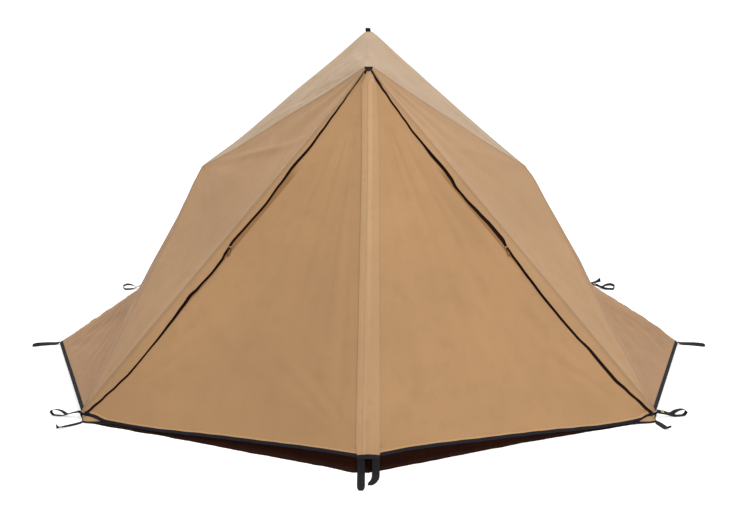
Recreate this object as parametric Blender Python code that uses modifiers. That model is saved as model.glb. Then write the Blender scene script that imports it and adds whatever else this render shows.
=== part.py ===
"""A cotton ridge tent with two upright poles, a door at each end and a wing pulled out at each side.

Metres, +Z up. The origin is on the ground under the middle of the ridge. The ridge runs along Y, the doors
face -Y (front) and +Y (rear), and the wings reach out along X. Each end is drawn as the front end, and the
rear end is the front one turned half way round Z, so its storm flap laps the same way for someone outside.
"""
import math

import bmesh
import bpy
from mathutils import Matrix, Vector

# Overall form
RIDGE_HEIGHT = 1.500
RIDGE_HALF = 0.665
SHOULDER_X = 0.800
SHOULDER_Z = 0.923
KNEE_X = 1.160
KNEE_Z = 0.294
WING_X = 1.567
WING_Z = 0.011
CORNER_X = 1.263
CORNER_Y = 0.974
CORNER_Z = 0.030
TOE_Y = 1.544
TOE_Z = 0.058

# Cloth and its seams
CLOTH = 0.0015
SEAM_GAP = 0.0003
SEAM_SPARE = 0.06
SLACK_ROUND = 1.2
ROOF_SAG = 0.016
SIDE_SAG = 0.012
WALL_SAG = 0.008
SHOULDER_CUT = 0.004
SIDE_CUT = 0.012

# Door leaves
LEAF_CUT = 0.030
LEAF_DEPTH = 0.0020
LEAF_SEAM = 0.0030
LEAF_SIDE = 0.0090
LEAF_BILLOW = 0.010
LEAF_FOLD = 0.006
LEAF_FOLDS = 2.5
LEAF_FADE = 1.5
LEAF_RISE = 0.8
LEAF_COLUMNS = 15
LEAF_ROWS = 10

# Rain flap along each slanting door seam
RAIN_CLOTH = 0.0012
RAIN_WIDTH = 0.034
RAIN_TOP_WIDTH = 0.010
RAIN_WAVE = 0.005
RAIN_WAVES = 3.0
RAIN_LIFT = 0.010
RAIN_TOP_CUT = 0.080
RAIN_FOOT_CUT = 0.050
RAIN_SWELL = 0.45
RAIN_ARCH = 0.6
RAIN_FLUTTER = 0.25
RAIN_FLUTTERS = 2.5

# Storm flap over the centre zip
STORM_SEWN = 0.050
STORM_LOOSE = 0.054
STORM_TOP_SHARE = 0.66
STORM_CLOTH = 0.0012
STORM_EDGE = 0.0007
STORM_ROUND = 0.7
STORM_CROWN = 0.0065
STORM_TOP_CUT = 0.105
STORM_FOOT = 0.002

# Black binding folded over the hems
BIND_WIDTH = 0.018
BIND_CLOTH = 0.0005
BIND_CLEAR = 0.0003
BIND_END = 0.034
BIND_TOE_CUT = 0.004
BIND_SPARE = 1.4
WALL_BIND_END = 0.042

# Ground skirt under each leaf
SKIRT_CLOTH = 0.0010
SKIRT_LAP = 0.012
SKIRT_CLEAR = 0.0004
SKIRT_SET_BACK = 0.012
SKIRT_GROUND = 0.0010
SKIRT_END = 0.045
SKIRT_TOE_CUT = 0.001

# Zip and its slider
CHAIN_RADIUS = 0.0015
CHAIN_HALF_GAP = 0.0011
CHAIN_TOP_CUT = 0.110
CHAIN_FOOT = BIND_WIDTH + 0.014
TAPE_CLOTH = 0.0008
TAPE_REACH = LEAF_SIDE + 0.006
SLIDER_LENGTH = 0.016
SLIDER_HALF_WIDTH = 0.0046
SLIDER_CLEAR = 0.0004
SLIDER_PLATE = 0.0014
SLIDER_POST = 0.0012
SLIDER_FOOT = CHAIN_FOOT + 0.004
PULL_LENGTH = 0.026
PULL_WIDTH = 0.0060
PULL_THICK = 0.0014
PULL_SINK = 0.0002
PULL_ROUND = 0.3

# Poles, which stand a little inside the ends of the ridge
POLE_SET_BACK = 0.018
POLE_RADIUS = 0.0140
POLE_WALL = 0.0015
POLE_JOINT_Z = 0.740
SPIGOT_LENGTH = 0.080
FIT = 0.0003
FOOT_RADIUS = 0.0210
FOOT_BASE = 0.0120
FOOT_PLUG = 0.0250
FOOT_LIP = 0.0010
FOOT_EDGE = 0.0072
PLUG_TIP = 0.8
PLUG_TAPER = 0.4
POLE_STEPS = 24

# Apex caps
CAP_RADIUS = 0.0240
CAP_SEAT = 0.0006
CAP_ROOF = 0.0080
CAP_SKIRT = 0.0200
CAP_ARC_STEPS = 7
CAP_RIM = 0.93

# Webbing
STRAP_WIDTH = 0.032
STRAP_THICK = 0.0030
WEB_THICK = 0.0016
STRAP_GAP = 0.0005
GROUND_GAP = 0.0004
STRAP_STEPS = 3
STRAP_TIP = 0.1
STRAP_NARROW = 0.75
TOE_STRAP_X = 0.0310
TOE_STRAP_BEND = 0.016
TOE_STRAP_HEEL = 0.006
TOE_STRAP_MIDDLE = 0.45
TOE_STRAP_SLACK = 0.002
TOE_STRAP_LYING = {-1: ((0.020, 0.0), (0.085, 0.0), (0.172, 0.0)),
                   1: ((0.020, 0.0), (0.065, 0.004), (0.118, 0.016))}
WING_STRAP_DROP = 0.001
WING_STRAP_SEAT = 0.0004
WING_STRAP_BEND = 0.016
WING_STRAP_HEEL = 0.0045
WING_STRAP_LYING = (0.045, 0.085, 0.130)
CORNER_STRAP_YAW = math.radians(34.8)
CORNER_STRAP_SHARE = 0.8
CORNER_STRAP_BEND = 0.010
CORNER_STRAP_HEEL = 0.008
CORNER_STRAP_MIDDLE = 0.028
CORNER_STRAP_RISE = 0.005
CORNER_STRAP_LYING = (0.048, 0.105)
EYE_YAW = math.radians(12.4)
EYE_LENGTH = 0.074
EYE_HEIGHT = 0.030
EYE_TAIL = 0.062
EYE_TAIL_MIDDLE = 0.55
EYE_TAIL_HUMP = 0.002
EYE_TAIL_RISE = 0.36
EYE_WIDTH = 0.028
EYE_ARCH = ((0.30, 0.42), (0.72, 0.60), (1.00, 0.22))
EYE_UNDER = ((0.80, 0.0), (0.35, 0.0015))

# Tie-backs on the door seams
TIE_PLACE = 0.50
TIE_LENGTH = 0.042
TIE_WIDTH = 0.015
TIE_CORD = 0.0012
TIE_OUT = RAIN_WIDTH + 0.010
TOGGLE_LENGTH = 0.024
TOGGLE_RADIUS = 0.0032
TOGGLE_SIDES = 12
TOGGLE_SINK = 0.6
TIE_POINTS = 14
TIE_SPREAD = 0.2
TIE_SPARE = 0.1

MERGE = 0.00001
APEX_FRONT = Vector((0.0, -RIDGE_HALF, RIDGE_HEIGHT))
APEX_REAR = Vector((0.0, RIDGE_HALF, RIDGE_HEIGHT))
TOE = Vector((0.0, -TOE_Y, TOE_Z))

for old in list(bpy.data.objects):
    bpy.data.objects.remove(old, do_unlink=True)

TENT = bpy.data.collections.new("tent")
CUTTERS = bpy.data.collections.new("cutters")
bpy.context.scene.collection.children.link(TENT)
bpy.context.scene.collection.children.link(CUTTERS)


def finish(name, color, roughness, metallic=0.0):
    """A Principled material in the piece's own colour."""
    made = bpy.data.materials.new(name)
    made.use_nodes = True
    shader = made.node_tree.nodes["Principled BSDF"]
    shader.inputs["Base Color"].default_value = (*color, 1.0)
    shader.inputs["Roughness"].default_value = roughness
    shader.inputs["Metallic"].default_value = metallic
    made.diffuse_color = (*color, 1.0)
    return made


CANVAS = (0.50, 0.33, 0.18)
ROOF_CANVAS = (0.56, 0.38, 0.23)
BLACK = (0.018, 0.018, 0.021)
SKIRT_BROWN = (0.045, 0.016, 0.010)
STEEL = (0.55, 0.55, 0.57)
RUBBER = (0.030, 0.030, 0.030)
CORD_BROWN = (0.14, 0.07, 0.03)
ZIP_BROWN = (0.23, 0.14, 0.075)


def shoulder(side):
    return Vector((side * SHOULDER_X, 0.0, SHOULDER_Z))


def knee(side):
    return Vector((side * KNEE_X, 0.0, KNEE_Z))


def wing(side):
    return Vector((side * WING_X, 0.0, WING_Z))


def corner(side):
    return Vector((side * CORNER_X, -CORNER_Y, CORNER_Z))


def facing(a, b, c, outward):
    """Unit normal of a triangle, on the side of the outward direction."""
    normal = (b - a).cross(c - a).normalized()
    return normal if normal.dot(outward) > 0.0 else -normal


def seam_inset(normal_a, normal_b, thickness=CLOTH):
    """How far each of two cloth edges stays back from their common line, so that the inner faces clear."""
    bend = normal_a.angle(normal_b)
    return SEAM_GAP * 0.5 + thickness * math.tan(bend * 0.5 + SEAM_SPARE)


def inset(tip, left, right, from_left_edge, from_right_edge):
    """The corner of a triangle after its two edges there move inwards."""
    to_left = (left - tip).normalized()
    to_right = (right - tip).normalized()
    spread = math.sin(to_left.angle(to_right))
    return tip + to_right * (from_left_edge / spread) + to_left * (from_right_edge / spread)


def turned(end):
    """The half turn about Z that makes the rear end from the front end."""
    return Matrix.Rotation(0.0 if end == "front" else math.pi, 4, "Z")


def side_name(end, side):
    """left is -X and right is +X at both ends."""
    x = side if end == "front" else -side
    return "left" if x < 0 else "right"


def empty(name, place, parent=None):
    """An empty on a joint's axis, which carries the pieces that move with it."""
    made = bpy.data.objects.new(name, None)
    made.empty_display_size = 0.05
    TENT.objects.link(made)
    made.location = place
    bpy.context.view_layer.update()
    if parent is not None:
        made.parent = parent
        made.matrix_parent_inverse = parent.matrix_world.inverted()
        bpy.context.view_layer.update()
    return made


def carried(obj, parent):
    """Parents a piece to its empty without moving it."""
    if parent is not None:
        obj.parent = parent
        obj.matrix_parent_inverse = parent.matrix_world.inverted()
    return obj


def sheet(name, patches, thickness, outward, material, matrix=None, parent=None, mirror=False, offset=-1.0):
    """One cloth piece: grids shaped by functions, joined along their edges and given a thickness.

    The offset puts the thickness inside (-1), outside (1) or on both sides (0) of the drawn surface.
    """
    bm = bmesh.new()
    for columns, rows, place in patches:
        made = bmesh.ops.create_grid(bm, x_segments=columns, y_segments=rows, size=0.5)
        for vert in made["verts"]:
            vert.co = place(vert.co.x + 0.5, vert.co.y + 0.5)
    bmesh.ops.remove_doubles(bm, verts=bm.verts, dist=MERGE)
    bmesh.ops.recalc_face_normals(bm, faces=bm.faces)
    bm.normal_update()
    total = Vector()
    for face in bm.faces:
        total += face.normal * face.calc_area()
    if total.dot(outward) < 0.0:
        bmesh.ops.reverse_faces(bm, faces=bm.faces)
    mesh = bpy.data.meshes.new(name)
    bm.to_mesh(mesh)
    bm.free()
    if matrix is not None:
        mesh.transform(matrix)
    obj = bpy.data.objects.new(name, mesh)
    TENT.objects.link(obj)
    if mirror:
        half = obj.modifiers.new("other half", "MIRROR")
        half.use_axis = (False, True, False)
        half.use_mirror_merge = True
        half.merge_threshold = 0.0001
    wall = obj.modifiers.new("cloth", "SOLIDIFY")
    wall.thickness = thickness
    wall.offset = offset
    wall.use_even_offset = True
    mesh.materials.append(material)
    mesh.shade_smooth()
    mesh.set_sharp_from_angle(angle=math.radians(30))
    return carried(obj, parent)


def fan(a, b, tip, cut, relief, normal):
    """A triangle of cloth as a fan: u runs from a to b along its foot, v runs up to the tip, less a cut."""
    def place(u, v):
        foot = a.lerp(b, u)
        rise = v * (1.0 - cut / (tip - foot).length)
        return foot.lerp(tip, rise) + normal * relief(u, v)
    return place


def slack(depth):
    """The shallow sag of a panel pulled at its corners, with straight edges."""
    return lambda u, v: -depth * math.sin(math.pi * u) * math.sin(math.pi * min(1.0, v)) ** SLACK_ROUND


def flat(u, v):
    return 0.0


class End:
    """The planes and directions of one side of the front end; side is -1 for -X and 1 for +X."""

    def __init__(self, side):
        self.side = side
        self.corner = corner(side)
        self.shoulder = shoulder(side)
        self.leaf_out = facing(self.corner, APEX_FRONT, TOE, Vector((0, -1, 0)))
        self.side_out = facing(self.shoulder, APEX_FRONT, self.corner, Vector((side, 0, 0)))
        self.roof_out = facing(APEX_FRONT, APEX_REAR, self.shoulder, Vector((0, 0, 1)))
        self.wall_out = facing(self.shoulder, self.corner, knee(side), Vector((side, 0, 0)))
        self.seam_up = (APEX_FRONT - self.corner).normalized()
        self.seam_in = across(self.seam_up, self.leaf_out, TOE - self.corner)
        self.centre_up = (APEX_FRONT - TOE).normalized()
        self.centre_out = across(self.centre_up, self.leaf_out, self.corner - TOE)
        self.hinge_inset = seam_inset(self.leaf_out, self.side_out)


def across(along, normal, towards):
    """The unit direction in a plane that is square to one of its lines, on a given side."""
    made = normal.cross(along).normalized()
    return made if made.dot(towards) > 0.0 else -made


def roof(side):
    """The roof slope between the ridge and the shoulder."""
    name = "left" if side < 0 else "right"
    here = End(side)
    ridge = seam_inset(here.roof_out, End(-side).roof_out)
    eave = seam_inset(here.roof_out, here.side_out)
    tip = shoulder(side)
    front = inset(APEX_FRONT, APEX_REAR, tip, ridge, eave)
    rear = inset(APEX_REAR, APEX_FRONT, tip, ridge, eave)
    point = inset(tip, APEX_FRONT, APEX_REAR, eave, eave)
    place = fan(front, rear, point, SHOULDER_CUT, slack(ROOF_SAG), here.roof_out)
    sheet("roof_" + name, [(12, 8, place)], CLOTH, here.roof_out, finish("roof_" + name, ROOF_CANVAS, 0.9))


def side_panel(end, side):
    """The panel between the eave, the corner and the slanting door seam."""
    here = End(side)
    name = end + "_" + side_name(end, side) + "_side_panel"
    eave = seam_inset(here.roof_out, here.side_out)
    wall = seam_inset(here.wall_out, here.side_out)
    top = inset(here.shoulder, here.corner, APEX_FRONT, wall, eave)
    foot = inset(here.corner, here.shoulder, APEX_FRONT, wall, here.hinge_inset)
    tip = inset(APEX_FRONT, here.shoulder, here.corner, eave, here.hinge_inset)
    place = fan(top, foot, tip, SIDE_CUT, slack(SIDE_SAG), here.side_out)
    sheet(name, [(10, 10, place)], CLOTH, here.side_out, finish(name, CANVAS, 0.9), turned(end))


def wall(side):
    """The side wall and wing, one kite of cloth folded along the line from each corner to the knee."""
    name = ("left" if side < 0 else "right") + "_wall"
    here = End(side)
    back = seam_inset(here.wall_out, here.side_out)
    head = here.shoulder
    bend = knee(side)
    top = inset(head, here.corner, bend, back, 0.0)
    foot = inset(here.corner, head, bend, back, 0.0)
    upper = fan(foot, bend, top, 0.0, slack(WALL_SAG), here.wall_out)
    lower = fan(bend, wing(side), foot, 0.0, flat, here.wall_out)
    sheet(name, [(8, 8, upper), (4, 8, lower)], CLOTH, Vector((side, 0, 0)), finish(name, CANVAS, 0.9),
          mirror=True)


def binding(name, start, stop, columns, up, out, material, matrix=None, parent=None, to_middle=False):
    """Tape folded over a straight hem: an outer leg, the fold under the edge and an inner leg."""
    clear = BIND_CLEAR
    profile = [(BIND_WIDTH, clear), (-clear, clear), (-clear, -clear - CLOTH), (BIND_WIDTH, -clear - CLOTH)]

    def place(u, v):
        step = min(2, int(v * 3.0))
        low = Vector(profile[step])
        rise, height = low.lerp(Vector(profile[step + 1]), v * 3.0 - step)
        shift = up * rise + out * height
        begin = start + shift
        end = stop + shift
        if to_middle:
            end = begin + (end - begin) * (begin.y / (begin.y - end.y))
        return begin.lerp(end, u)

    return sheet(name, [(columns, 3, place)], BIND_CLOTH, -up, material, matrix, parent, mirror=to_middle,
                 offset=1.0)


def wall_hem(side):
    """The binding along the foot of the wing, from the front corner round its point to the rear corner."""
    name = ("left" if side < 0 else "right") + "_wall_hem"
    here = End(side)
    back = seam_inset(here.wall_out, here.side_out)
    foot = inset(here.corner, here.shoulder, knee(side), back, 0.0)
    tip = wing(side)
    out = facing(foot, knee(side), tip, Vector((side, 0, 0.4)))
    along = (tip - foot).normalized()
    up = across(along, out, knee(side) - tip)
    start = foot + along * WALL_BIND_END
    binding(name, start, tip, 2, up, out, finish(name, BLACK, 0.8), to_middle=True)


def leaf_points(here):
    """The corners of a door leaf, drawn in its own plane below the seam lines."""
    drop = here.leaf_out * -LEAF_DEPTH
    foot = inset(here.corner, APEX_FRONT, TOE, LEAF_SEAM, 0.0) + drop
    toe = inset(TOE, APEX_FRONT, here.corner, LEAF_SIDE, 0.0) + drop
    tip = inset(APEX_FRONT, here.corner, TOE, LEAF_SEAM, LEAF_SIDE) + drop
    return foot, toe, tip


def hem_share():
    """The share of a leaf's height that stays flat under its binding."""
    return (BIND_WIDTH + BIND_CLEAR) * BIND_SPARE / (TOE - APEX_FRONT).length


def leaf_relief(u, v):
    """A billow over the whole leaf and the soft folds that fan down from the apex, flat at the hem."""
    if v <= hem_share():
        return 0.0
    rise = (v - hem_share()) / (1.0 - hem_share())
    fade = math.sin(math.pi * u) ** LEAF_FADE * math.sin(math.pi * rise ** LEAF_RISE)
    return fade * (-LEAF_BILLOW + LEAF_FOLD * math.sin(LEAF_FOLDS * math.tau * u))


def door_leaf(end, side, parent):
    here = End(side)
    foot, toe, tip = leaf_points(here)
    name = end + "_" + side_name(end, side) + "_door_leaf"
    spread = fan(foot, toe, tip, LEAF_CUT, leaf_relief, here.leaf_out)
    first = 1.0 / LEAF_ROWS

    def place(u, v):
        above = hem_share() + (v - first) / (1.0 - first) * (1.0 - hem_share())
        return spread(u, v / first * hem_share() if v <= first + MERGE else above)

    patches = [(LEAF_COLUMNS, LEAF_ROWS, place)]
    sheet(name, patches, CLOTH, here.leaf_out, finish(name, CANVAS, 0.9), turned(end), parent)


def door_hem(end, side, parent):
    here = End(side)
    foot, toe, tip = leaf_points(here)
    along = (toe - foot).normalized()
    up = across(along, here.leaf_out, tip - toe)
    name = end + "_" + side_name(end, side) + "_door_hem"
    start = foot + along * BIND_END
    stop = toe - along * BIND_TOE_CUT
    binding(name, start, stop, 6, up, here.leaf_out, finish(name, BLACK, 0.8), turned(end), parent)


def skirt(end, side, parent):
    """The dark ground skirt that hangs behind the hem down to the ground."""
    here = End(side)
    foot, toe, tip = leaf_points(here)
    along = (toe - foot).normalized()
    up = across(along, here.leaf_out, tip - toe)
    behind = CLOTH + 2.0 * BIND_CLEAR + BIND_CLOTH + SKIRT_CLEAR
    level = Vector((here.leaf_out.x, here.leaf_out.y, 0.0)).normalized()

    def place(u, v):
        line = (foot + along * SKIRT_END).lerp(toe - along * SKIRT_TOE_CUT, u)
        head = line + up * SKIRT_LAP - here.leaf_out * behind
        base = line - level * (SKIRT_SET_BACK + behind)
        base.z = SKIRT_GROUND
        return head.lerp(base, v)

    name = end + "_" + side_name(end, side) + "_ground_skirt"
    sheet(name, [(8, 2, place)], SKIRT_CLOTH, here.leaf_out, finish(name, SKIRT_BROWN, 0.9), turned(end),
          parent)


def rain_flap(end, side, parent):
    """The lip of cloth that laps over the leaf along the slanting seam and stands a little off it."""
    here = End(side)
    length = (APEX_FRONT - here.corner).length
    low = RAIN_FOOT_CUT / length
    high = 1.0 - RAIN_TOP_CUT / length

    def place(u, v):
        share = low + (high - low) * v
        swell = math.sin(math.pi * v) ** RAIN_SWELL
        width = RAIN_TOP_WIDTH + (RAIN_WIDTH - RAIN_TOP_WIDTH) * swell
        width += RAIN_WAVE * math.sin(RAIN_WAVES * math.tau * v) * swell
        flutter = 1.0 - RAIN_FLUTTER + RAIN_FLUTTER * math.cos(RAIN_FLUTTERS * math.tau * v)
        lift = RAIN_LIFT * math.sin(math.pi * v) ** RAIN_ARCH * flutter
        root = here.corner.lerp(APEX_FRONT, share)
        rise = lift * math.sin(0.5 * math.pi * u)
        return root + here.seam_in * (here.hinge_inset + width * u) + here.leaf_out * rise

    name = end + "_" + side_name(end, side) + "_rain_flap"
    sheet(name, [(2, 18, place)], RAIN_CLOTH, here.leaf_out, finish(name, CANVAS, 0.9), turned(end), parent)


def storm_flap(end, parent):
    """The strip over the centre zip: sewn to one leaf, loose over the other, crowned over the slider."""
    sewn = End(-1)
    loose = End(1)
    ahead = Vector((0, sewn.leaf_out.y, sewn.leaf_out.z)).normalized()
    length = (APEX_FRONT - TOE).length

    def place(u, v):
        share = (STORM_FOOT + (length - STORM_FOOT - STORM_TOP_CUT) * v) / length
        taper = 1.0 - (1.0 - STORM_TOP_SHARE) * v
        reach = (-STORM_SEWN + (STORM_SEWN + STORM_LOOSE) * u) * taper
        here = loose if reach > 0.0 else sewn
        crown = max(0.0, 1.0 - abs(reach) / (STORM_SEWN * taper)) ** STORM_ROUND * STORM_CROWN
        flat_point = TOE.lerp(APEX_FRONT, share) + here.centre_out * abs(reach) + here.leaf_out * STORM_EDGE
        return flat_point + ahead * crown

    name = end + "_storm_flap"
    sheet(name, [(8, 10, place)], STORM_CLOTH, ahead, finish(name, CANVAS, 0.9), turned(end), parent)


def outline(name, points, thickness, matrix, material, parent=None):
    """A flat outline with a thickness along its own Z, as a filled 2D curve made a mesh."""
    data = bpy.data.curves.new(name, "CURVE")
    data.dimensions = "2D"
    data.fill_mode = "BOTH"
    data.extrude = thickness * 0.5
    line = data.splines.new("POLY")
    line.points.add(len(points) - 1)
    for point, (x, y) in zip(line.points, points):
        point.co = (x, y, 0.0, 1.0)
    line.use_cyclic_u = True
    return solid_of(name, data, matrix, material, parent)


def solid_of(name, data, matrix, material, parent=None):
    """The mesh of a curve, with its caps welded, moved to its place."""
    drawn = bpy.data.objects.new(name + "_drawn", data)
    TENT.objects.link(drawn)
    bpy.context.view_layer.update()
    graph = bpy.context.evaluated_depsgraph_get()
    mesh = bpy.data.meshes.new_from_object(drawn.evaluated_get(graph))
    bpy.data.objects.remove(drawn, do_unlink=True)
    bm = bmesh.new()
    bm.from_mesh(mesh)
    bmesh.ops.remove_doubles(bm, verts=bm.verts, dist=MERGE)
    bmesh.ops.transform(bm, matrix=matrix, verts=bm.verts)
    bmesh.ops.recalc_face_normals(bm, faces=bm.faces)
    bm.to_mesh(mesh)
    bm.free()
    obj = bpy.data.objects.new(name, mesh)
    TENT.objects.link(obj)
    mesh.materials.clear()
    mesh.materials.append(material)
    return carried(obj, parent)


def chain_frame(here, share_length):
    """Axes at a height on the centre line: X towards the leaf, Y outwards, Z up the line."""
    x_axis = here.centre_out
    y_axis = here.leaf_out
    z_axis = here.centre_up
    place = TOE + z_axis * share_length
    frame = Matrix((x_axis, y_axis, z_axis)).transposed().to_4x4()
    frame.translation = place
    return frame


def chain_depth():
    """Depth of the chain's centre below the seam plane, so that its tape lies under the leaf's inner face."""
    return LEAF_DEPTH + CLOTH + SEAM_GAP + TAPE_CLOTH * 0.5


def leaf_tilt():
    """How far each leaf turns back from the plane square to the tent's middle."""
    leaf_out = End(-1).leaf_out
    return leaf_out.angle(Vector((0, leaf_out.y, leaf_out.z)))


def chain_middle():
    """Distance of the chain's centre from the centre line, measured in the plane of the leaf."""
    return (CHAIN_HALF_GAP + CHAIN_RADIUS + chain_depth() * math.sin(leaf_tilt())) / math.cos(leaf_tilt())


def zip_half(end, side, parent):
    """One half of the centre zip: the round chain along the edge of its tape."""
    here = End(side)
    depth = chain_depth()
    middle = chain_middle()
    half = TAPE_CLOTH * 0.5
    reach = math.asin(half / CHAIN_RADIUS)
    turns = [reach + (math.tau - 2.0 * reach) * step / 8.0 for step in range(9)]
    chain = [(CHAIN_RADIUS * math.cos(turn), CHAIN_RADIUS * math.sin(turn)) for turn in turns]
    points = [(middle + x, y - depth) for x, y in chain]
    points += [(TAPE_REACH, -depth - half), (TAPE_REACH, -depth + half)]
    length = (APEX_FRONT - TOE).length - CHAIN_TOP_CUT - CHAIN_FOOT
    name = end + "_" + side_name(end, side) + "_zip_half"
    frame = turned(end) @ chain_frame(here, CHAIN_FOOT + length * 0.5)
    outline(name, points, length, frame, finish(name, ZIP_BROWN, 0.6), parent)


def slider(end, parent):
    """The slider: two plates on a post between the chains, and a pull lying on the upper plate."""
    here = End(-1)
    ahead = Vector((0, here.leaf_out.y, here.leaf_out.z)).normalized()
    up = here.centre_up
    sideways = up.cross(ahead) * -1.0
    depth = chain_depth() * math.cos(leaf_tilt()) + chain_middle() * math.sin(leaf_tilt())
    channel = CHAIN_RADIUS + SLIDER_CLEAR
    high = channel + SLIDER_PLATE
    post = SLIDER_POST * 0.5
    wide = SLIDER_HALF_WIDTH
    half = [(wide, -high), (wide, -channel), (post, -channel), (post, channel), (wide, channel), (wide, high)]
    points = half + [(-x, y) for x, y in reversed(half)]
    frame = Matrix((sideways, ahead, up)).transposed().to_4x4()
    frame.translation = TOE + up * (SLIDER_FOOT + SLIDER_LENGTH * 0.5) - ahead * depth
    name = end + "_zip_slider"
    material = finish(name, STEEL, 0.4, 1.0)
    body = outline(name, points, SLIDER_LENGTH, turned(end) @ frame, material)
    bm = bmesh.new()
    bmesh.ops.create_cube(bm, size=1.0)
    drop = (PULL_LENGTH - SLIDER_LENGTH) * 0.5
    place = Matrix.Translation((0.0, high + PULL_THICK * 0.5 - PULL_SINK, -drop))
    shape = Matrix.Diagonal((PULL_WIDTH, PULL_THICK, PULL_LENGTH, 1.0))
    bmesh.ops.transform(bm, matrix=place @ shape, verts=bm.verts)
    through = [edge for edge in bm.edges if abs(edge.verts[0].co.y - edge.verts[1].co.y) > PULL_THICK * 0.5]
    bmesh.ops.bevel(bm, geom=through, offset=PULL_WIDTH * PULL_ROUND, segments=2, affect="EDGES")
    mesh = bpy.data.meshes.new(name + "_pull")
    bm.to_mesh(mesh)
    bm.free()
    pull = bpy.data.objects.new(name + "_pull", mesh)
    CUTTERS.objects.link(pull)
    pull.matrix_world = turned(end) @ frame
    pull.hide_render = True
    pull.display_type = "WIRE"
    join = body.modifiers.new("pull", "BOOLEAN")
    join.solver = "MANIFOLD"
    join.operation = "UNION"
    join.object = pull
    bpy.context.view_layer.update()
    return carried(body, parent)


def turned_piece(name, profile, material, place, steps=POLE_STEPS):
    """A closed profile in the XZ plane, spun about Z."""
    bm = bmesh.new()
    verts = [bm.verts.new((radius, 0.0, height)) for radius, height in profile]
    for first, second in zip(verts, verts[1:]):
        bm.edges.new((first, second))
    if profile[0][0] > 0.0:
        bm.edges.new((verts[-1], verts[0]))
    mesh = bpy.data.meshes.new(name)
    bm.to_mesh(mesh)
    bm.free()
    obj = bpy.data.objects.new(name, mesh)
    TENT.objects.link(obj)
    spin = obj.modifiers.new("spin", "SCREW")
    spin.axis = "Z"
    spin.steps = steps
    spin.render_steps = steps
    spin.use_merge_vertices = True
    spin.merge_threshold = 0.00001
    spin.use_smooth_shade = True
    obj.location = place
    mesh.materials.append(material)
    return obj


def cap_centre():
    """Height of the cap's dome, which seats under both roof slopes."""
    slope = math.atan2(RIDGE_HEIGHT - SHOULDER_Z, SHOULDER_X)
    return RIDGE_HEIGHT - (CAP_RADIUS + CLOTH + CAP_SEAT) / math.cos(slope)


def pole_place(end):
    """The foot of the pole's axis on the ground."""
    return turned(end) @ Vector((0.0, POLE_SET_BACK - RIDGE_HALF, 0.0))


def pole(end):
    """A two-piece steel pole on a rubber foot, with its head in the apex cap."""
    place = pole_place(end)
    inner = POLE_RADIUS - POLE_WALL
    head = cap_centre() + CAP_ROOF - FIT
    bottom = FOOT_BASE + FIT
    lip = POLE_JOINT_Z - FIT
    lower = [(POLE_RADIUS, lip), (POLE_RADIUS, bottom), (inner, bottom), (inner, lip)]
    turned_piece(end + "_pole_lower", lower, finish(end + "_pole_lower", STEEL, 0.35, 1.0), place)
    spigot = inner - FIT
    bore = spigot - POLE_WALL
    upper = [(POLE_RADIUS, head), (POLE_RADIUS, POLE_JOINT_Z), (spigot, POLE_JOINT_Z),
             (spigot, POLE_JOINT_Z - SPIGOT_LENGTH), (bore, POLE_JOINT_Z - SPIGOT_LENGTH),
             (bore, POLE_JOINT_Z + POLE_RADIUS), (inner, POLE_JOINT_Z + POLE_RADIUS * 2.0), (inner, head)]
    turned_piece(end + "_pole_upper", upper, finish(end + "_pole_upper", STEEL, 0.35, 1.0), place)
    plug = inner - FIT
    top = bottom + FOOT_PLUG
    foot = [(0.0, top), (plug * PLUG_TIP, top), (plug, top - plug * PLUG_TAPER), (plug, FOOT_BASE),
            (POLE_RADIUS + FOOT_LIP, FOOT_BASE), (FOOT_RADIUS, FOOT_EDGE), (FOOT_RADIUS, 0.0), (0.0, 0.0)]
    turned_piece(end + "_pole_foot", foot, finish(end + "_pole_foot", RUBBER, 0.8), place)


def apex_cap(end):
    """The black cap under the end of the ridge: a dome outside and a blind socket for the pole inside."""
    centre = cap_centre()
    turns = [math.radians(90.0 * step / CAP_ARC_STEPS) for step in range(CAP_ARC_STEPS, -1, -1)]
    dome = [(CAP_RADIUS * math.cos(turn), centre + CAP_RADIUS * math.sin(turn)) for turn in turns]
    dome[0] = (0.0, centre + CAP_RADIUS)
    socket = POLE_RADIUS + FIT
    rim = centre - CAP_SKIRT
    ceiling = centre + CAP_ROOF
    profile = dome + [(CAP_RADIUS * CAP_RIM, rim), (socket, rim), (socket, ceiling), (0.0, ceiling)]
    name = end + "_apex_cap"
    turned_piece(name, profile, finish(name, BLACK, 0.6), pole_place(end))


def smooth(points, steps):
    """Points along a smooth curve through a few chosen ones."""
    made = []
    padded = [points[0] * 2.0 - points[1]] + points + [points[-1] * 2.0 - points[-2]]
    for index in range(1, len(padded) - 2):
        a, b, c, d = padded[index - 1:index + 3]
        for step in range(steps):
            t = step / steps
            made.append(0.5 * ((2.0 * b) + (c - a) * t + (2.0 * a - 5.0 * b + 4.0 * c - d) * t * t
                               + (3.0 * b - a - 3.0 * c + d) * t ** 3))
    made.append(points[-1])
    return made


def settled(points, low):
    """A smooth path through the points that never dips below the ground."""
    path = smooth(points, STRAP_STEPS)
    for point in path:
        point.z = max(point.z, low)
    return path


def ribbon(name, path, width_from, width_to, width, thickness, end, material, parent=None, round_tip=False):
    """Webbing along a path; its width turns from one direction at the root to another at the tip."""
    last = len(path) - 1

    def place(u, v):
        step = min(last - 1, int(v * last + 1e-6))
        spot = path[step].lerp(path[step + 1], v * last - step)
        sideways = width_from.lerp(width_to, v).normalized()
        narrow = 1.0
        into_tip = (v - 1.0 + STRAP_TIP) / STRAP_TIP
        if round_tip and into_tip > 0.0:
            narrow = math.sqrt(1.0 - STRAP_NARROW * min(1.0, into_tip) ** 2)
        return spot + sideways * (width * (u - 0.5) * narrow)

    return sheet(name, [(2, last, place)], thickness, Vector((0, 0, 1)), material, turned(end), parent,
                 offset=0.0)


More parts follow.
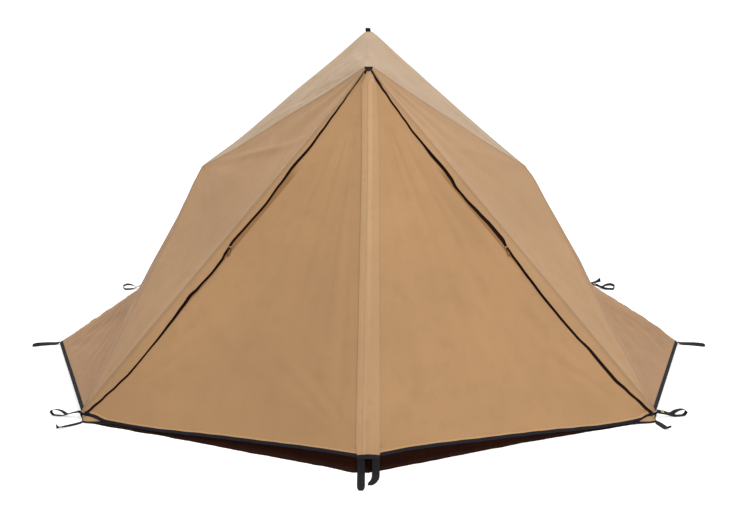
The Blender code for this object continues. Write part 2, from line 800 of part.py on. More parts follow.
def toe_strap(end, side, parent):
    """The peg strap at the middle of the door: down from the hem and out along the ground.

    One strap of a door lies straight and the other is shorter and curls towards it.
    """
    here = End(side)
    foot, toe, tip = leaf_points(here)
    along = (toe - foot).normalized()
    up = across(along, here.leaf_out, tip - toe)
    root = toe - along * (TOE_STRAP_X - LEAF_SIDE) / abs(along.x)
    root += up * -(BIND_CLEAR + BIND_CLOTH + STRAP_GAP) - here.leaf_out * CLOTH * 0.5
    low = GROUND_GAP + STRAP_THICK * 0.5
    out = Vector((0.0, -1.0, 0.0))
    bend = Vector((root.x, root.y, low)) + out * TOE_STRAP_BEND
    middle = root.lerp(bend, TOE_STRAP_MIDDLE) + Vector((0, TOE_STRAP_SLACK, 0))
    points = [root, middle, bend + Vector((0, 0, TOE_STRAP_HEEL))]
    points += [bend + out * reach - Vector((side * curl, 0, 0)) for reach, curl in TOE_STRAP_LYING[side]]
    name = end + "_" + side_name(end, side) + "_toe_strap"
    width_from = along if side < 0 else -along
    ribbon(name, settled(points, low), width_from, Vector((1, 0, 0)), STRAP_WIDTH, STRAP_THICK, end,
           finish(name, BLACK, 0.8), parent, round_tip=True)


def wing_strap(side):
    """The peg strap at the point of the wing."""
    tip = wing(side)
    low = GROUND_GAP + STRAP_THICK * 0.5
    outward = Vector((side, 0, 0))
    root = tip + outward * (BIND_CLEAR + BIND_CLOTH + STRAP_GAP + WING_STRAP_SEAT)
    root.z = tip.z - WING_STRAP_DROP
    heel = root + outward * WING_STRAP_BEND - Vector((0, 0, WING_STRAP_HEEL))
    lying = [Vector((root.x, root.y, low)) + outward * reach for reach in WING_STRAP_LYING]
    name = ("left" if side < 0 else "right") + "_wing_strap"
    ribbon(name, settled([root, heel] + lying, low), Vector((0, 1, 0)), Vector((0, 1, 0)), STRAP_WIDTH,
           STRAP_THICK, "front", finish(name, BLACK, 0.8), None, round_tip=True)


def corner_root(here):
    """The lowest point of the wall's cloth at its corner, where the corner webbing is sewn."""
    back = seam_inset(here.wall_out, here.side_out)
    return inset(here.corner, here.shoulder, knee(here.side), back, 0.0)


def clear_of_hem(here, root, outward, sideways, width):
    """How far out webbing starts from a corner, so that its near edge just clears the wing's hem."""
    hem = wing(here.side) - root
    hem_out = Vector((hem.y, -hem.x, 0.0)).normalized() * here.side
    away = abs(sideways.dot(hem_out)) * width * 0.5 + STRAP_GAP
    return away / outward.dot(hem_out)


def loop_pitch():
    """Distance between the two layers in the tail of a corner loop."""
    return WEB_THICK + SEAM_GAP * 2.0


def corner_loop(end, side):
    """The corner's peg loop: one strip of webbing turned back on itself, its eye standing open."""
    here = End(side)
    root = corner_root(here)
    outward = Vector((side * math.cos(EYE_YAW), math.sin(EYE_YAW), 0.0))
    sideways = Vector((0, 0, 1)).cross(outward)
    begin = root + outward * clear_of_hem(here, root, outward, sideways, EYE_WIDTH)
    low = GROUND_GAP + WEB_THICK * 0.5
    gap = loop_pitch()
    tail = begin + outward * EYE_TAIL
    tail.z = low + EYE_HEIGHT * EYE_TAIL_RISE
    far = tail + outward * EYE_LENGTH
    hump = begin.lerp(tail, EYE_TAIL_MIDDLE) + Vector((0, 0, EYE_TAIL_HUMP))
    layer = Vector((0, 0, gap))
    top = [begin, hump, tail]
    top += [tail.lerp(far, share) + Vector((0, 0, EYE_HEIGHT * rise)) for share, rise in EYE_ARCH]
    below = [tail.lerp(far, share) for share, rise in EYE_UNDER]
    for point, (share, rise) in zip(below, EYE_UNDER):
        point.z = low + rise
    below += [tail - layer, hump - layer, begin - layer]
    name = end + "_" + side_name(end, side) + "_corner_loop"
    ribbon(name, settled(top + below, low), sideways, sideways, EYE_WIDTH, WEB_THICK, end,
           finish(name, BLACK, 0.8))


def corner_strap(end, side):
    """The second strap at the corner, flat on the ground and pointing outwards and forwards."""
    here = End(side)
    root = corner_root(here)
    outward = Vector((side * math.cos(CORNER_STRAP_YAW), -math.sin(CORNER_STRAP_YAW), 0.0))
    low = GROUND_GAP + STRAP_THICK * 0.5
    sideways = Vector((0, 0, 1)).cross(outward)
    width = STRAP_WIDTH * CORNER_STRAP_SHARE
    start = root + outward * clear_of_hem(here, root, outward, sideways, width)
    start.z = root.z - loop_pitch() - (WEB_THICK + STRAP_THICK) * 0.5 - 2.0 * STRAP_GAP
    ground = Vector((start.x, start.y, low))
    heel = start + outward * CORNER_STRAP_BEND - Vector((0, 0, CORNER_STRAP_HEEL))
    middle = ground + outward * CORNER_STRAP_MIDDLE + Vector((0, 0, CORNER_STRAP_RISE))
    lying = [ground + outward * reach for reach in CORNER_STRAP_LYING]
    name = end + "_" + side_name(end, side) + "_corner_strap"
    ribbon(name, settled([start, heel, middle] + lying, low), sideways, sideways, width, STRAP_THICK, end,
           finish(name, BLACK, 0.8), None, round_tip=True)


def tie_back(end, side, parent):
    """A loop of cord with its toggle, which holds the rolled leaf; it hangs out from under the rain flap."""
    here = End(side)
    place = here.corner.lerp(APEX_FRONT, TIE_PLACE)
    down = Vector((0, 0, -1))
    down = (down - here.leaf_out * down.dot(here.leaf_out)).normalized()
    sideways = across(down, here.leaf_out, here.centre_out * -1.0)
    rest = -LEAF_DEPTH + SEAM_GAP + TIE_CORD + LEAF_FOLD * TIE_SPARE
    top = place + here.seam_in * TIE_OUT + here.leaf_out * rest
    frame = Matrix((sideways, down.cross(sideways) * -1.0, down * -1.0)).transposed().to_4x4()
    frame.translation = top
    data = bpy.data.curves.new("cord", "CURVE")
    data.dimensions = "3D"
    data.bevel_depth = TIE_CORD
    data.bevel_resolution = 1
    line = data.splines.new("POLY")
    line.points.add(TIE_POINTS - 1)
    for index, point in enumerate(line.points):
        turn = math.tau * index / TIE_POINTS
        drop = 0.5 - 0.5 * math.cos(turn)
        half = TIE_WIDTH * 0.5 * math.sin(turn) * (1.0 - TIE_SPREAD + TIE_SPREAD * drop)
        point.co = (half, 0.0, -TIE_LENGTH * drop, 1.0)
    line.use_cyclic_u = True
    name = end + "_" + side_name(end, side) + "_tie_back"
    loop = solid_of(name, data, turned(end) @ frame, finish(name, CORD_BROWN, 0.7))
    bm = bmesh.new()
    lying = Matrix.Rotation(math.pi / 2, 4, "Y")
    bmesh.ops.create_cone(bm, cap_ends=True, segments=TOGGLE_SIDES, radius1=TOGGLE_RADIUS,
                          radius2=TOGGLE_RADIUS, depth=TOGGLE_LENGTH, matrix=lying)
    mesh = bpy.data.meshes.new(name + "_toggle")
    bm.to_mesh(mesh)
    bm.free()
    toggle = bpy.data.objects.new(name + "_toggle", mesh)
    CUTTERS.objects.link(toggle)
    lifted = Matrix.Translation(here.leaf_out * (TOGGLE_RADIUS - TIE_CORD * TOGGLE_SINK))
    toggle.matrix_world = turned(end) @ lifted @ frame
    toggle.hide_render = True
    toggle.display_type = "WIRE"
    join = loop.modifiers.new("toggle", "BOOLEAN")
    join.solver = "MANIFOLD"
    join.operation = "UNION"
    join.object = toggle
    bpy.context.view_layer.update()
    return carried(loop, parent)


def door(end):
    """Both leaves of one door with all that swings with them, each on an empty on its slanting seam."""
    for side in (-1, 1):
        name = end + "_" + side_name(end, side)
        hinge = empty(name + "_leaf_axis", turned(end) @ corner(side))
        door_leaf(end, side, hinge)
        door_hem(end, side, hinge)
        skirt(end, side, hinge)
        rain_flap(end, side, hinge)
        zip_half(end, side, hinge)
        toe_strap(end, side, hinge)
        tie_back(end, side, hinge)
        if side < 0:
            here = End(side)
            edge = TOE + here.centre_out * STORM_SEWN
            flap_axis = empty(end + "_storm_flap_axis", turned(end) @ edge, hinge)
            storm_flap(end, flap_axis)
            run = empty(end + "_zip_slider_axis", turned(end) @ TOE, hinge)
            slider(end, run)


def build():
    for side in (-1, 1):
        roof(side)
        wall(side)
        wall_hem(side)
        wing_strap(side)
    for end in ("front", "rear"):
        pole(end)
        apex_cap(end)
        door(end)
        for side in (-1, 1):
            side_panel(end, side)
            corner_loop(end, side)
            corner_strap(end, side)


build()
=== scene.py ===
"""The looks of the cotton ridge tent: canvas with folds and seams, webbing, zips, poles, and a white studio.

Each end is drawn as the front end, as in the part's source, and the rear end is the front one turned half way
round Z. A piece's grid is laid out flat in metres too, which gives its weave, its seams and its cut size.
"""
import math

import bmesh
import bpy
from mathutils import Matrix, Vector, noise


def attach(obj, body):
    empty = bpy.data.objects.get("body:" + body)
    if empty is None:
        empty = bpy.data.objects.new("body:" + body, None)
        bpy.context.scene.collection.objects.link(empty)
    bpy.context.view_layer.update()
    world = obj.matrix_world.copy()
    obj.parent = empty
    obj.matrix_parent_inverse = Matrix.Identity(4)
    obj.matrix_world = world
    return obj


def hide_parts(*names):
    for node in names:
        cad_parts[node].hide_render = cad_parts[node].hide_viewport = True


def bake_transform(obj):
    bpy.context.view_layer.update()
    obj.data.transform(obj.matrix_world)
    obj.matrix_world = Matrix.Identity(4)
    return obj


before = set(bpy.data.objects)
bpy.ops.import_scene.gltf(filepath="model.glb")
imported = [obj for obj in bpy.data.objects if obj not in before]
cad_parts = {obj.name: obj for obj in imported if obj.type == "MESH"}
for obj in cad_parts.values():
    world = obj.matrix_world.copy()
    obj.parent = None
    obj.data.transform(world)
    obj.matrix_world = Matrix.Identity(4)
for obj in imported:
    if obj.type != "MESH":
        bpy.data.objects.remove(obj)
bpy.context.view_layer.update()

# The part's own sizes
RIDGE_HEIGHT = 1.500
RIDGE_HALF = 0.665
SHOULDER_X = 0.800
SHOULDER_Z = 0.923
KNEE_X = 1.160
KNEE_Z = 0.294
WING_X = 1.567
WING_Z = 0.011
CORNER_X = 1.263
CORNER_Y = 0.974
CORNER_Z = 0.030
TOE_Y = 1.544
TOE_Z = 0.058
CLOTH = 0.0015
SEAM_GAP = 0.0003
SEAM_SPARE = 0.06
SHOULDER_CUT = 0.004
SIDE_CUT = 0.012
LEAF_CUT = 0.020
LEAF_DEPTH = 0.0020
LEAF_SEAM = 0.0030
LEAF_SIDE = 0.0090
RAIN_CLOTH = 0.0012
RAIN_FOOT_CUT = 0.004
RAIN_TOP_CUT = 0.036
FLAP_SHADE_TOP_CUT = {-1: 0.040, 1: 0.027}
STORM_CLOTH = 0.0012
STORM_SEWN = 0.050
STORM_LOOSE = 0.054
STORM_TOP_SHARE = 0.66
STORM_EDGE = 0.0007
STORM_ROUND = 0.7
STORM_CROWN = 0.0045
STORM_FOOT = 0.002
BIND_WIDTH = 0.018
BIND_CLOTH = 0.0005
BIND_CLEAR = 0.0003
BIND_END = 0.001
BIND_TOE_CUT = 0.004
BIND_SPARE = 1.4
BIND_FRONT = 0.0135
WALL_BIND_END = 0.004
SKIRT_CLOTH = 0.0010
SKIRT_LAP = 0.012
SKIRT_CLEAR = 0.0004
SKIRT_GROUND = 0.0010
SKIRT_END = 0.014
SKIRT_TOE_CUT = 0.001
SKIRT_MEET = {-1: 0.0020, 1: 0.0010}
SKIRT_AHEAD = 0.0015
CHAIN_RADIUS = 0.0015
CHAIN_HALF_GAP = 0.0011
CHAIN_TOP_CUT = 0.110
CHAIN_FOOT = BIND_WIDTH + 0.014
TAPE_CLOTH = 0.0008
TAPE_REACH = LEAF_SIDE + 0.006
STRAP_WIDTH = 0.032
STRAP_THICK = 0.0030
WEB_THICK = 0.0016
STRAP_GAP = 0.0005
GROUND_GAP = 0.0004
TOE_STRAP_X = 0.0310
TOE_STRAP_BEND = 0.016
TOE_STRAP_HEEL = 0.006
TOE_STRAP_MIDDLE = 0.45
TOE_STRAP_SLACK = 0.002
TOE_STRAP_LYING = {-1: ((0.020, 0.0), (0.085, 0.0), (0.172, 0.0)),
                   1: ((0.020, 0.0), (0.070, 0.004), (0.124, 0.023))}
WING_STRAP_DROP = 0.001
WING_STRAP_SEAT = 0.0004
WING_STRAP_BEND = 0.016
WING_STRAP_HEEL = 0.0045
WING_STRAP_LYING = (0.045, 0.085, 0.130)
CORNER_STRAP_YAW = math.radians(34.8)
CORNER_STRAP_SHARE = 0.8
CORNER_STRAP_LYING = {-1: ((1.250, -1.004, 0.0085), (1.249, -1.026, 0.0035), (1.272, -1.050, 0.0035),
                           (1.308, -1.074, 0.0040), (1.332, -1.092, 0.0075), (1.348, -1.100, 0.0125)),
                      1: ((1.254, -1.004, 0.0085), (1.257, -1.026, 0.0035), (1.270, -1.062, 0.0035),
                          (1.283, -1.096, 0.0035), (1.291, -1.108, 0.0080), (1.297, -1.107, 0.0180))}
EYE_YAW = math.radians(12.4)
EYE_LENGTH = 0.074
EYE_HEIGHT = 0.030
EYE_TAIL = 0.062
EYE_TAIL_MIDDLE = 0.55
EYE_TAIL_HUMP = 0.002
EYE_TAIL_RISE = 0.36
EYE_WIDTH = 0.028
EYE_ARCH = ((0.30, 0.42), (0.72, 0.60), (1.00, 0.22))
EYE_UNDER = ((0.80, 0.0), (0.35, 0.0015))
EYE_LEAN = {-1: (-0.14, -0.27), 1: (0.24, -0.10)}
TIE_PLACE = 0.50
TIE_LENGTH = 0.042
TIE_WIDTH = 0.015
TIE_CORD = 0.0012
TIE_OUT = 0.044
TOGGLE_LENGTH = 0.024
TOGGLE_RADIUS = 0.0032
TIE_SPREAD = 0.2
TIE_STEPS = 40

# The camera, fitted to the photograph
CAMERA_PLACE = (0.006, -6.712, 2.360)
CAMERA_TILT = math.radians(74.2)
CAMERA_LENS = 68.11
CAMERA_SENSOR = 36.0

MERGE = 0.00001
APEX_FRONT = Vector((0.0, -RIDGE_HALF, RIDGE_HEIGHT))
APEX_REAR = Vector((0.0, RIDGE_HALF, RIDGE_HEIGHT))
TOE = Vector((0.0, -TOE_Y, TOE_Z))
CENTRE_LENGTH = (APEX_FRONT - TOE).length
STORM_WIDTH = STORM_SEWN + STORM_LOOSE
SCENE = bpy.context.scene

bpy.ops.object.select_all(action="DESELECT")


# shared measures of the part
def shoulder(side):
    return Vector((side * SHOULDER_X, 0.0, SHOULDER_Z))


def knee(side):
    return Vector((side * KNEE_X, 0.0, KNEE_Z))


def wing(side):
    return Vector((side * WING_X, 0.0, WING_Z))


def corner(side):
    return Vector((side * CORNER_X, -CORNER_Y, CORNER_Z))


def facing(a, b, c, outward):
    """Unit normal of a triangle, on the side of the outward direction."""
    normal = (b - a).cross(c - a).normalized()
    return normal if normal.dot(outward) > 0.0 else -normal


def seam_inset(normal_a, normal_b):
    """How far each of two cloth edges stays back from their common line."""
    bend = normal_a.angle(normal_b)
    return SEAM_GAP * 0.5 + CLOTH * math.tan(bend * 0.5 + SEAM_SPARE)


def inset(tip, left, right, from_left_edge, from_right_edge):
    """The corner of a triangle after its two edges there move inwards."""
    to_left = (left - tip).normalized()
    to_right = (right - tip).normalized()
    spread = math.sin(to_left.angle(to_right))
    return tip + to_right * (from_left_edge / spread) + to_left * (from_right_edge / spread)


def across(along, normal, towards):
    """The unit direction in a plane that is square to one of its lines, on a given side."""
    made = normal.cross(along).normalized()
    return made if made.dot(towards) > 0.0 else -made


def turned(end):
    """The half turn about Z that makes the rear end from the front end."""
    return Matrix.Rotation(0.0 if end == "front" else math.pi, 4, "Z")


def side_name(end, side):
    """left is -X and right is +X at both ends."""
    x = side if end == "front" else -side
    return "left" if x < 0 else "right"


class End:
    """The planes and directions of one side of the front end; side is -1 for -X and 1 for +X."""

    def __init__(self, side):
        self.side = side
        self.corner = corner(side)
        self.shoulder = shoulder(side)
        self.leaf_out = facing(self.corner, APEX_FRONT, TOE, Vector((0, -1, 0)))
        self.side_out = facing(self.shoulder, APEX_FRONT, self.corner, Vector((side, 0, 0)))
        self.roof_out = facing(APEX_FRONT, APEX_REAR, self.shoulder, Vector((0, 0, 1)))
        self.wall_out = facing(self.shoulder, self.corner, knee(side), Vector((side, 0, 0)))
        self.seam_up = (APEX_FRONT - self.corner).normalized()
        self.seam_in = across(self.seam_up, self.leaf_out, TOE - self.corner)
        self.centre_up = (APEX_FRONT - TOE).normalized()
        self.centre_out = across(self.centre_up, self.leaf_out, self.corner - TOE)
        self.hinge_inset = seam_inset(self.leaf_out, self.side_out)
        self.seam_length = (APEX_FRONT - self.corner).length
        self.ahead = Vector((0, self.leaf_out.y, self.leaf_out.z)).normalized()


SIDES = {side: End(side) for side in (-1, 1)}


def sided(end, side):
    """How the names of one side's pieces at one end begin."""
    return end + "_" + side_name(end, side)


def leaf_points(here):
    """The corners of a door leaf, drawn in its own plane below the seam lines."""
    drop = here.leaf_out * -LEAF_DEPTH
    foot = inset(here.corner, APEX_FRONT, TOE, LEAF_SEAM, 0.0) + drop
    toe = inset(TOE, APEX_FRONT, here.corner, LEAF_SIDE, 0.0) + drop
    tip = inset(APEX_FRONT, here.corner, TOE, LEAF_SEAM, LEAF_SIDE) + drop
    return foot, toe, tip


def hem_frame(here):
    """A door leaf's foot and toe, the direction along its hem and the one up from it."""
    foot, toe, tip = leaf_points(here)
    along = (toe - foot).normalized()
    return foot, toe, along, across(along, here.leaf_out, tip - toe)


def hem_share():
    """The share of a leaf's height that stays flat under its binding."""
    return (BIND_WIDTH + BIND_CLEAR) * BIND_SPARE / (TOE - APEX_FRONT).length


def along_table(table, share):
    """A smooth value between the entries of a table."""
    for (low, before), (high, after) in zip(table, table[1:]):
        if share <= high:
            mix = max(0.0, (share - low) / (high - low))
            mix = mix * mix * (3.0 - 2.0 * mix)
            return before + (after - before) * mix
    return table[-1][1]


def wander(x, y, z):
    """Smooth unevenness between about -1 and 1."""
    return noise.noise(Vector((x, y, z)))


def edge_fade(value, reach):
    """0 at a distance of nothing and 1 past the reach, smoothly."""
    share = min(max(value / reach, 0.0), 1.0)
    return share * share * (3.0 - 2.0 * share)


# How far a door's hem hangs below its straight line, by the share of the way from the corner to the toe
LEFT_DROP = ((0.00, 0.000), (0.04, 0.016), (0.10, 0.0315), (0.20, 0.0335), (0.28, 0.032), (0.37, 0.026),
             (0.45, 0.020), (0.54, 0.0146), (0.63, 0.011), (0.71, 0.007), (0.79, 0.003), (0.87, 0.001),
             (1.00, 0.0))
RIGHT_DROP = ((0.00, 0.000), (0.03, 0.018), (0.06, 0.029), (0.09, 0.0315), (0.13, 0.0325), (0.21, 0.031),
              (0.30, 0.024), (0.38, 0.0165), (0.47, 0.011), (0.55, 0.0065), (0.63, 0.003), (0.71, -0.002),
              (0.79, -0.006), (0.87, -0.008), (0.95, -0.005), (1.00, 0.0))
HEM_FADE = 0.35


def hem_drop(side, share):
    return along_table(LEFT_DROP if side < 0 else RIGHT_DROP, share)


# How far the standing tent is drawn in at its right and let out at its left, by height
RIGHT_DRAW = ((0.00, 0.000), (0.11, -0.005), (0.15, 0.008), (0.20, 0.027), (0.28, 0.038), (0.36, 0.026),
              (0.45, 0.020), (0.60, 0.022), (0.75, 0.024), (0.85, 0.022), (0.92, 0.032), (1.05, 0.036),
              (1.15, 0.034), (1.25, 0.026), (1.35, 0.006), (1.50, 0.0))
LEFT_DRAW = ((0.00, 0.000), (0.20, 0.006), (0.294, 0.004), (0.45, 0.000), (0.66, 0.000), (0.75, -0.006),
             (0.85, -0.014), (0.92, -0.016), (1.05, 0.003), (1.15, -0.002), (1.25, -0.018), (1.35, -0.020),
             (1.50, 0.0))
RIDGE_FLAT = 0.019
RIDGE_SLOPE = (RIDGE_HEIGHT - SHOULDER_Z) / SHOULDER_X
WING_HANG = {-1: 0.012, 1: -0.004}


def drawn_in(point):
    """Where a place on the cloth lies on the standing tent: flat over the poles, a little uneven."""
    seam_y = RIDGE_HALF + (CORNER_Y - RIDGE_HALF) * (RIDGE_HEIGHT - point.z) / (RIDGE_HEIGHT - CORNER_Z)
    middle = max(0.0, 1.0 - abs(point.y) / seam_y)
    out = abs(point.x)
    side = 1 if point.x > 0.0 else -1
    far = Vector((out, abs(point.y) - RIDGE_HALF, point.z - RIDGE_HEIGHT)).length
    lift = RIDGE_SLOPE * min(out, RIDGE_FLAT) * (1.0 - edge_fade(out - RIDGE_FLAT, 0.30))
    under_roof = RIDGE_HEIGHT - RIDGE_SLOPE * out - point.z
    lift *= (1.0 - edge_fade(far - 0.05, 0.35)) * (1.0 - edge_fade(under_roof, 0.035))
    inwards = along_table(RIGHT_DRAW if side > 0 else LEFT_DRAW, point.z) * middle * edge_fade(out, 0.15)
    beyond = min(max((out - KNEE_X) / (WING_X - KNEE_X), 0.0), 1.0)
    hang = WING_HANG[side] * math.sin(math.pi * beyond) * max(0.0, 1.0 - abs(point.y) / 0.45)
    return Vector((point.x - inwards * side, point.y, point.z + lift - hang))


# node materials
class Nodes:
    """Short calls that add shader nodes to a tree and wire them."""

    def __init__(self, tree):
        self.tree = tree

    def node(self, kind, **inputs):
        made = self.tree.nodes.new("ShaderNode" + kind)
        for key, value in inputs.items():
            self.put(made.inputs[key.replace("_", " ")], value)
        return made

    def put(self, socket, value):
        """Links an output to a socket, or writes a plain value in it."""
        if isinstance(value, bpy.types.NodeSocket):
            self.tree.links.new(value, socket)
        elif socket.type == "RGBA" and len(value) == 3:
            socket.default_value = (*value, 1.0)
        else:
            socket.default_value = value

    def math(self, operation, a, b=0.0):
        made = self.node("Math")
        made.operation = operation
        self.put(made.inputs[0], a)
        self.put(made.inputs[1], b)
        return made.outputs[0]

    def plus(self, a, b):
        return self.math("ADD", a, b)

    def minus(self, a, b):
        return self.math("SUBTRACT", a, b)

    def times(self, a, b):
        return self.math("MULTIPLY", a, b)

    def mixed(self, share, first, second):
        """A mix of the shaders that two nodes give."""
        made = self.node("MixShader")
        for socket, value in zip(made.inputs, (share, first.outputs[0], second.outputs[0])):
            self.put(socket, value)
        return made.outputs[0]

    def seen_straight(self):
        """1 for what the camera sees itself, in gloss or through glass, and 0 for light on the piece."""
        path = self.node("LightPath").outputs
        first = self.math("MAXIMUM", path["Is Camera Ray"], path["Is Glossy Ray"])
        return self.math("MAXIMUM", first, path["Is Transmission Ray"])


class Finish(Nodes):
    """A procedural material: a Principled shader and the nodes wired to it."""

    def __init__(self, name, roughness, metallic=0.0, gloss=0.5):
        self.material = bpy.data.materials.new(name)
        self.material.use_nodes = True
        super().__init__(self.material.node_tree)
        self.shader = self.tree.nodes["Principled BSDF"]
        self.set("Roughness", roughness)
        self.set("Metallic", metallic)
        self.set("Specular IOR Level", gloss)

    def set(self, name, value):
        self.put(self.shader.inputs[name], value)

    def object_place(self):
        return self.node("TexCoord").outputs["Object"]

    def layout(self, name):
        """One of the piece's own flat layouts, and its two coordinates in metres."""
        made = self.node("UVMap")
        made.uv_map = name
        split = self.node("SeparateXYZ", Vector=made.outputs["UV"])
        return made.outputs["UV"], split.outputs["X"], split.outputs["Y"]

    def noise(self, vector, scale, detail=3.0, roughness=0.55):
        made = self.node("TexNoise", Vector=vector, Scale=scale, Detail=detail, Roughness=roughness)
        return made.outputs["Fac"]

    def stretched(self, vector, x, y, z):
        return self.node("Mapping", Vector=vector, Scale=(x, y, z)).outputs["Vector"]

    def ramp(self, value, stops):
        """A colour for a value, from (place, colour) stops."""
        made = self.node("ValToRGB", Fac=value)
        elements = made.color_ramp.elements
        while len(elements) < len(stops):
            elements.new(0.5)
        for element, (place, colour) in zip(elements, stops):
            element.position = place
            element.color = (*colour, 1.0)
        return made.outputs["Color"]

    def spread(self, value, low, high, out_low, out_high):
        """A value moved smoothly from one range to another, and held at its ends."""
        made = self.node("MapRange")
        made.interpolation_type = "SMOOTHSTEP"
        for socket, number in zip(made.inputs, (value, low, high, out_low, out_high)):
            self.put(socket, number)
        return made.outputs["Result"]

    def tint(self, colour, other, share, how="MIX"):
        made = self.node("Mix")
        made.data_type = "RGBA"
        made.blend_type = how
        for key, value in (("Factor", share), (6, colour), (7, other)):
            self.put(made.inputs[key], value)
        return made.outputs[2]

    def bump(self, height, distance, strength=1.0, below=None):
        made = self.node("Bump", Height=height, Distance=distance, Strength=strength)
        if below is not None:
            self.put(made.inputs["Normal"], below)
        return made.outputs["Normal"]

    def done(self, colour, normal, roughness=None):
        self.set("Base Color", colour)
        self.set("Normal", normal)
        if roughness is not None:
            self.set("Roughness", roughness)
        return self.material


def shaded(colour, share):
    return tuple(part * share for part in colour)


THREAD = 0.0009
CANVAS_PITCH = 0.0009
FELL_WIDTH = 0.013
PUCKER_REACH = 0.060


def plain_weave(finish, x, y, pitch):
    """The height of a plain weave: warp and weft pass over and under each other."""
    turn = math.pi / pitch
    warp = finish.math("SINE", finish.times(x, turn))
    weft = finish.math("SINE", finish.times(y, turn))
    return finish.times(warp, weft)


def stitches(finish, away, run, row, pitch):
    """1 on the threads of one row of stitching at a distance from the seam, and 0 beside them."""
    off = finish.math("ABSOLUTE", finish.minus(away, row))
    line = finish.spread(off, THREAD * 0.4, THREAD, 1.0, 0.0)
    step = finish.math("FRACT", finish.math("DIVIDE", run, pitch))
    dash = finish.spread(finish.math("ABSOLUTE", finish.minus(step, 0.5)), 0.32, 0.42, 1.0, 0.0)
    return finish.times(line, dash)


# Where the painted shadow below a rain flap starts and ends, along the leaf
LAP_SHADOW_STARTS = (0.55, 0.80)
LAP_SHADOW_ENDS = (1.36, 1.46)


def lap_shadow_mask(finish, x, y, leans, reach):
    """1 on the painted shadow of a leaf below its rain flap, along part of the seam, and 0 elsewhere."""
    up_it = finish.plus(finish.times(x, math.cos(leans)), finish.times(y, math.sin(leans)))
    off_it = finish.minus(finish.times(x, math.sin(leans)), finish.times(y, math.cos(leans)))
    along = finish.times(finish.spread(up_it, *LAP_SHADOW_STARTS, 0.0, 1.0),
                         finish.spread(up_it, *LAP_SHADOW_ENDS, 1.0, 0.0))
    return finish.times(finish.spread(off_it, reach - 0.001, reach + 0.002, 0.85, 0.0), along)


def canvas(name, colour, fell=1.0, pucker=1.0, rows_at=(0.0030, 0.0100), fell_width=FELL_WIDTH, low_sheen=None,
           hem_highlight=None, lit=None, lap_shadow=None):
    """Poly-cotton canvas: a fine weave, felled seams with rows of stitching, and puckers along them.

    It can carry painted sheen, lighter and greyer towards the shoulder, a painted highlight in a line over a
    hem, painted light up to a distance from its seam, and a painted shadow below a rain flap.
    """
    finish = Finish(name, 0.88, gloss=0.2)
    layout, x, y = finish.layout("cloth")
    seam, away, run = finish.layout("seam")
    place = finish.object_place()
    broad = finish.noise(place, 1.7, 2.0)
    middle = finish.noise(place, 14.0, 4.0)
    slubs = finish.noise(finish.stretched(layout, 900.0, 60.0, 1.0), 1.0, 2.0)
    shade = finish.ramp(broad, [(0.30, shaded(colour, 0.93)), (0.70, shaded(colour, 1.05))])
    # painted sheen: the roof is painted lighter and greyer lower down, towards the shoulder
    if low_sheen:
        height = finish.node("SeparateXYZ", Vector=place).outputs["Z"]
        shade = finish.tint(shade, low_sheen, finish.spread(height, 0.95, 1.35, 0.75, 0.0))
    shade = finish.tint(shade, shaded(colour, 0.90), finish.spread(middle, 0.45, 0.75, 0.0, 0.45))
    shade = finish.tint(shade, shaded(colour, 0.82), finish.spread(slubs, 0.50, 0.80, 0.0, 0.30))
    # painted light: the part near the seam is painted lighter against the shade it gets from the strip's bend
    if lit:
        reach, share = lit
        near = finish.spread(x, reach * 0.8, reach * 1.2, 1.0, 0.0)
        shade = finish.tint(shade, (share, share, share), near, "MULTIPLY")
    # painted shadow: the leaf is painted darker where its rain flap shades it
    if lap_shadow:
        shadow_brown = (colour[0] * 0.66, colour[1] * 0.54, colour[2] * 0.40)
        shade = finish.tint(shade, shadow_brown, lap_shadow_mask(finish, x, y, *lap_shadow))
    # painted highlight: a lighter line on the door just above its hem binding
    if hem_highlight:
        low, high = hem_highlight
        line = finish.times(finish.spread(y, low, low + 0.002, 0.0, 1.0),
                            finish.spread(y, high, high + 0.004, 0.55, 0.0))
        shade = finish.tint(shade, shaded(colour, 1.45), line)
    # darker along each seam, within twice the fell's width: partly dirt in the seam, partly painted shade
    # beside the fell
    shade = finish.tint(shade, shaded(colour, 0.72), finish.spread(away, 0.0, fell_width * 2.0, 0.20, 0.0))
    rows = 0.0
    for row in rows_at:
        rows = finish.math("MAXIMUM", rows, stitches(finish, away, run, row, 0.0036))
    shade = finish.tint(shade, shaded(colour, 0.60), rows)
    normal = finish.bump(plain_weave(finish, x, y, CANVAS_PITCH), 0.00022, 0.35)
    creases = finish.noise(finish.stretched(place, 1.0, 1.0, 0.45), 26.0, 5.0, 0.6)
    normal = finish.bump(creases, 0.0022 * pucker, 0.55, normal)
    ripple = finish.noise(finish.stretched(seam, 6.0, 42.0, 1.0), 1.0, 2.0)
    ripple = finish.times(ripple, finish.spread(away, 0.0, PUCKER_REACH, 1.0, 0.0))
    normal = finish.bump(ripple, 0.0060 * pucker, 0.7, normal)
    felled = finish.spread(away, fell_width * 0.85, fell_width, fell, 0.0)
    normal = finish.bump(finish.minus(felled, finish.times(rows, 0.6)), 0.0008, 0.9, normal)
    finish.set("Sheen Weight", 0.15)
    finish.set("Sheen Roughness", 0.45)
    finish.set("Sheen Tint", (0.95, 0.86, 0.80))
    return finish.done(shade, normal, finish.spread(middle, 0.3, 0.7, 0.82, 0.94))


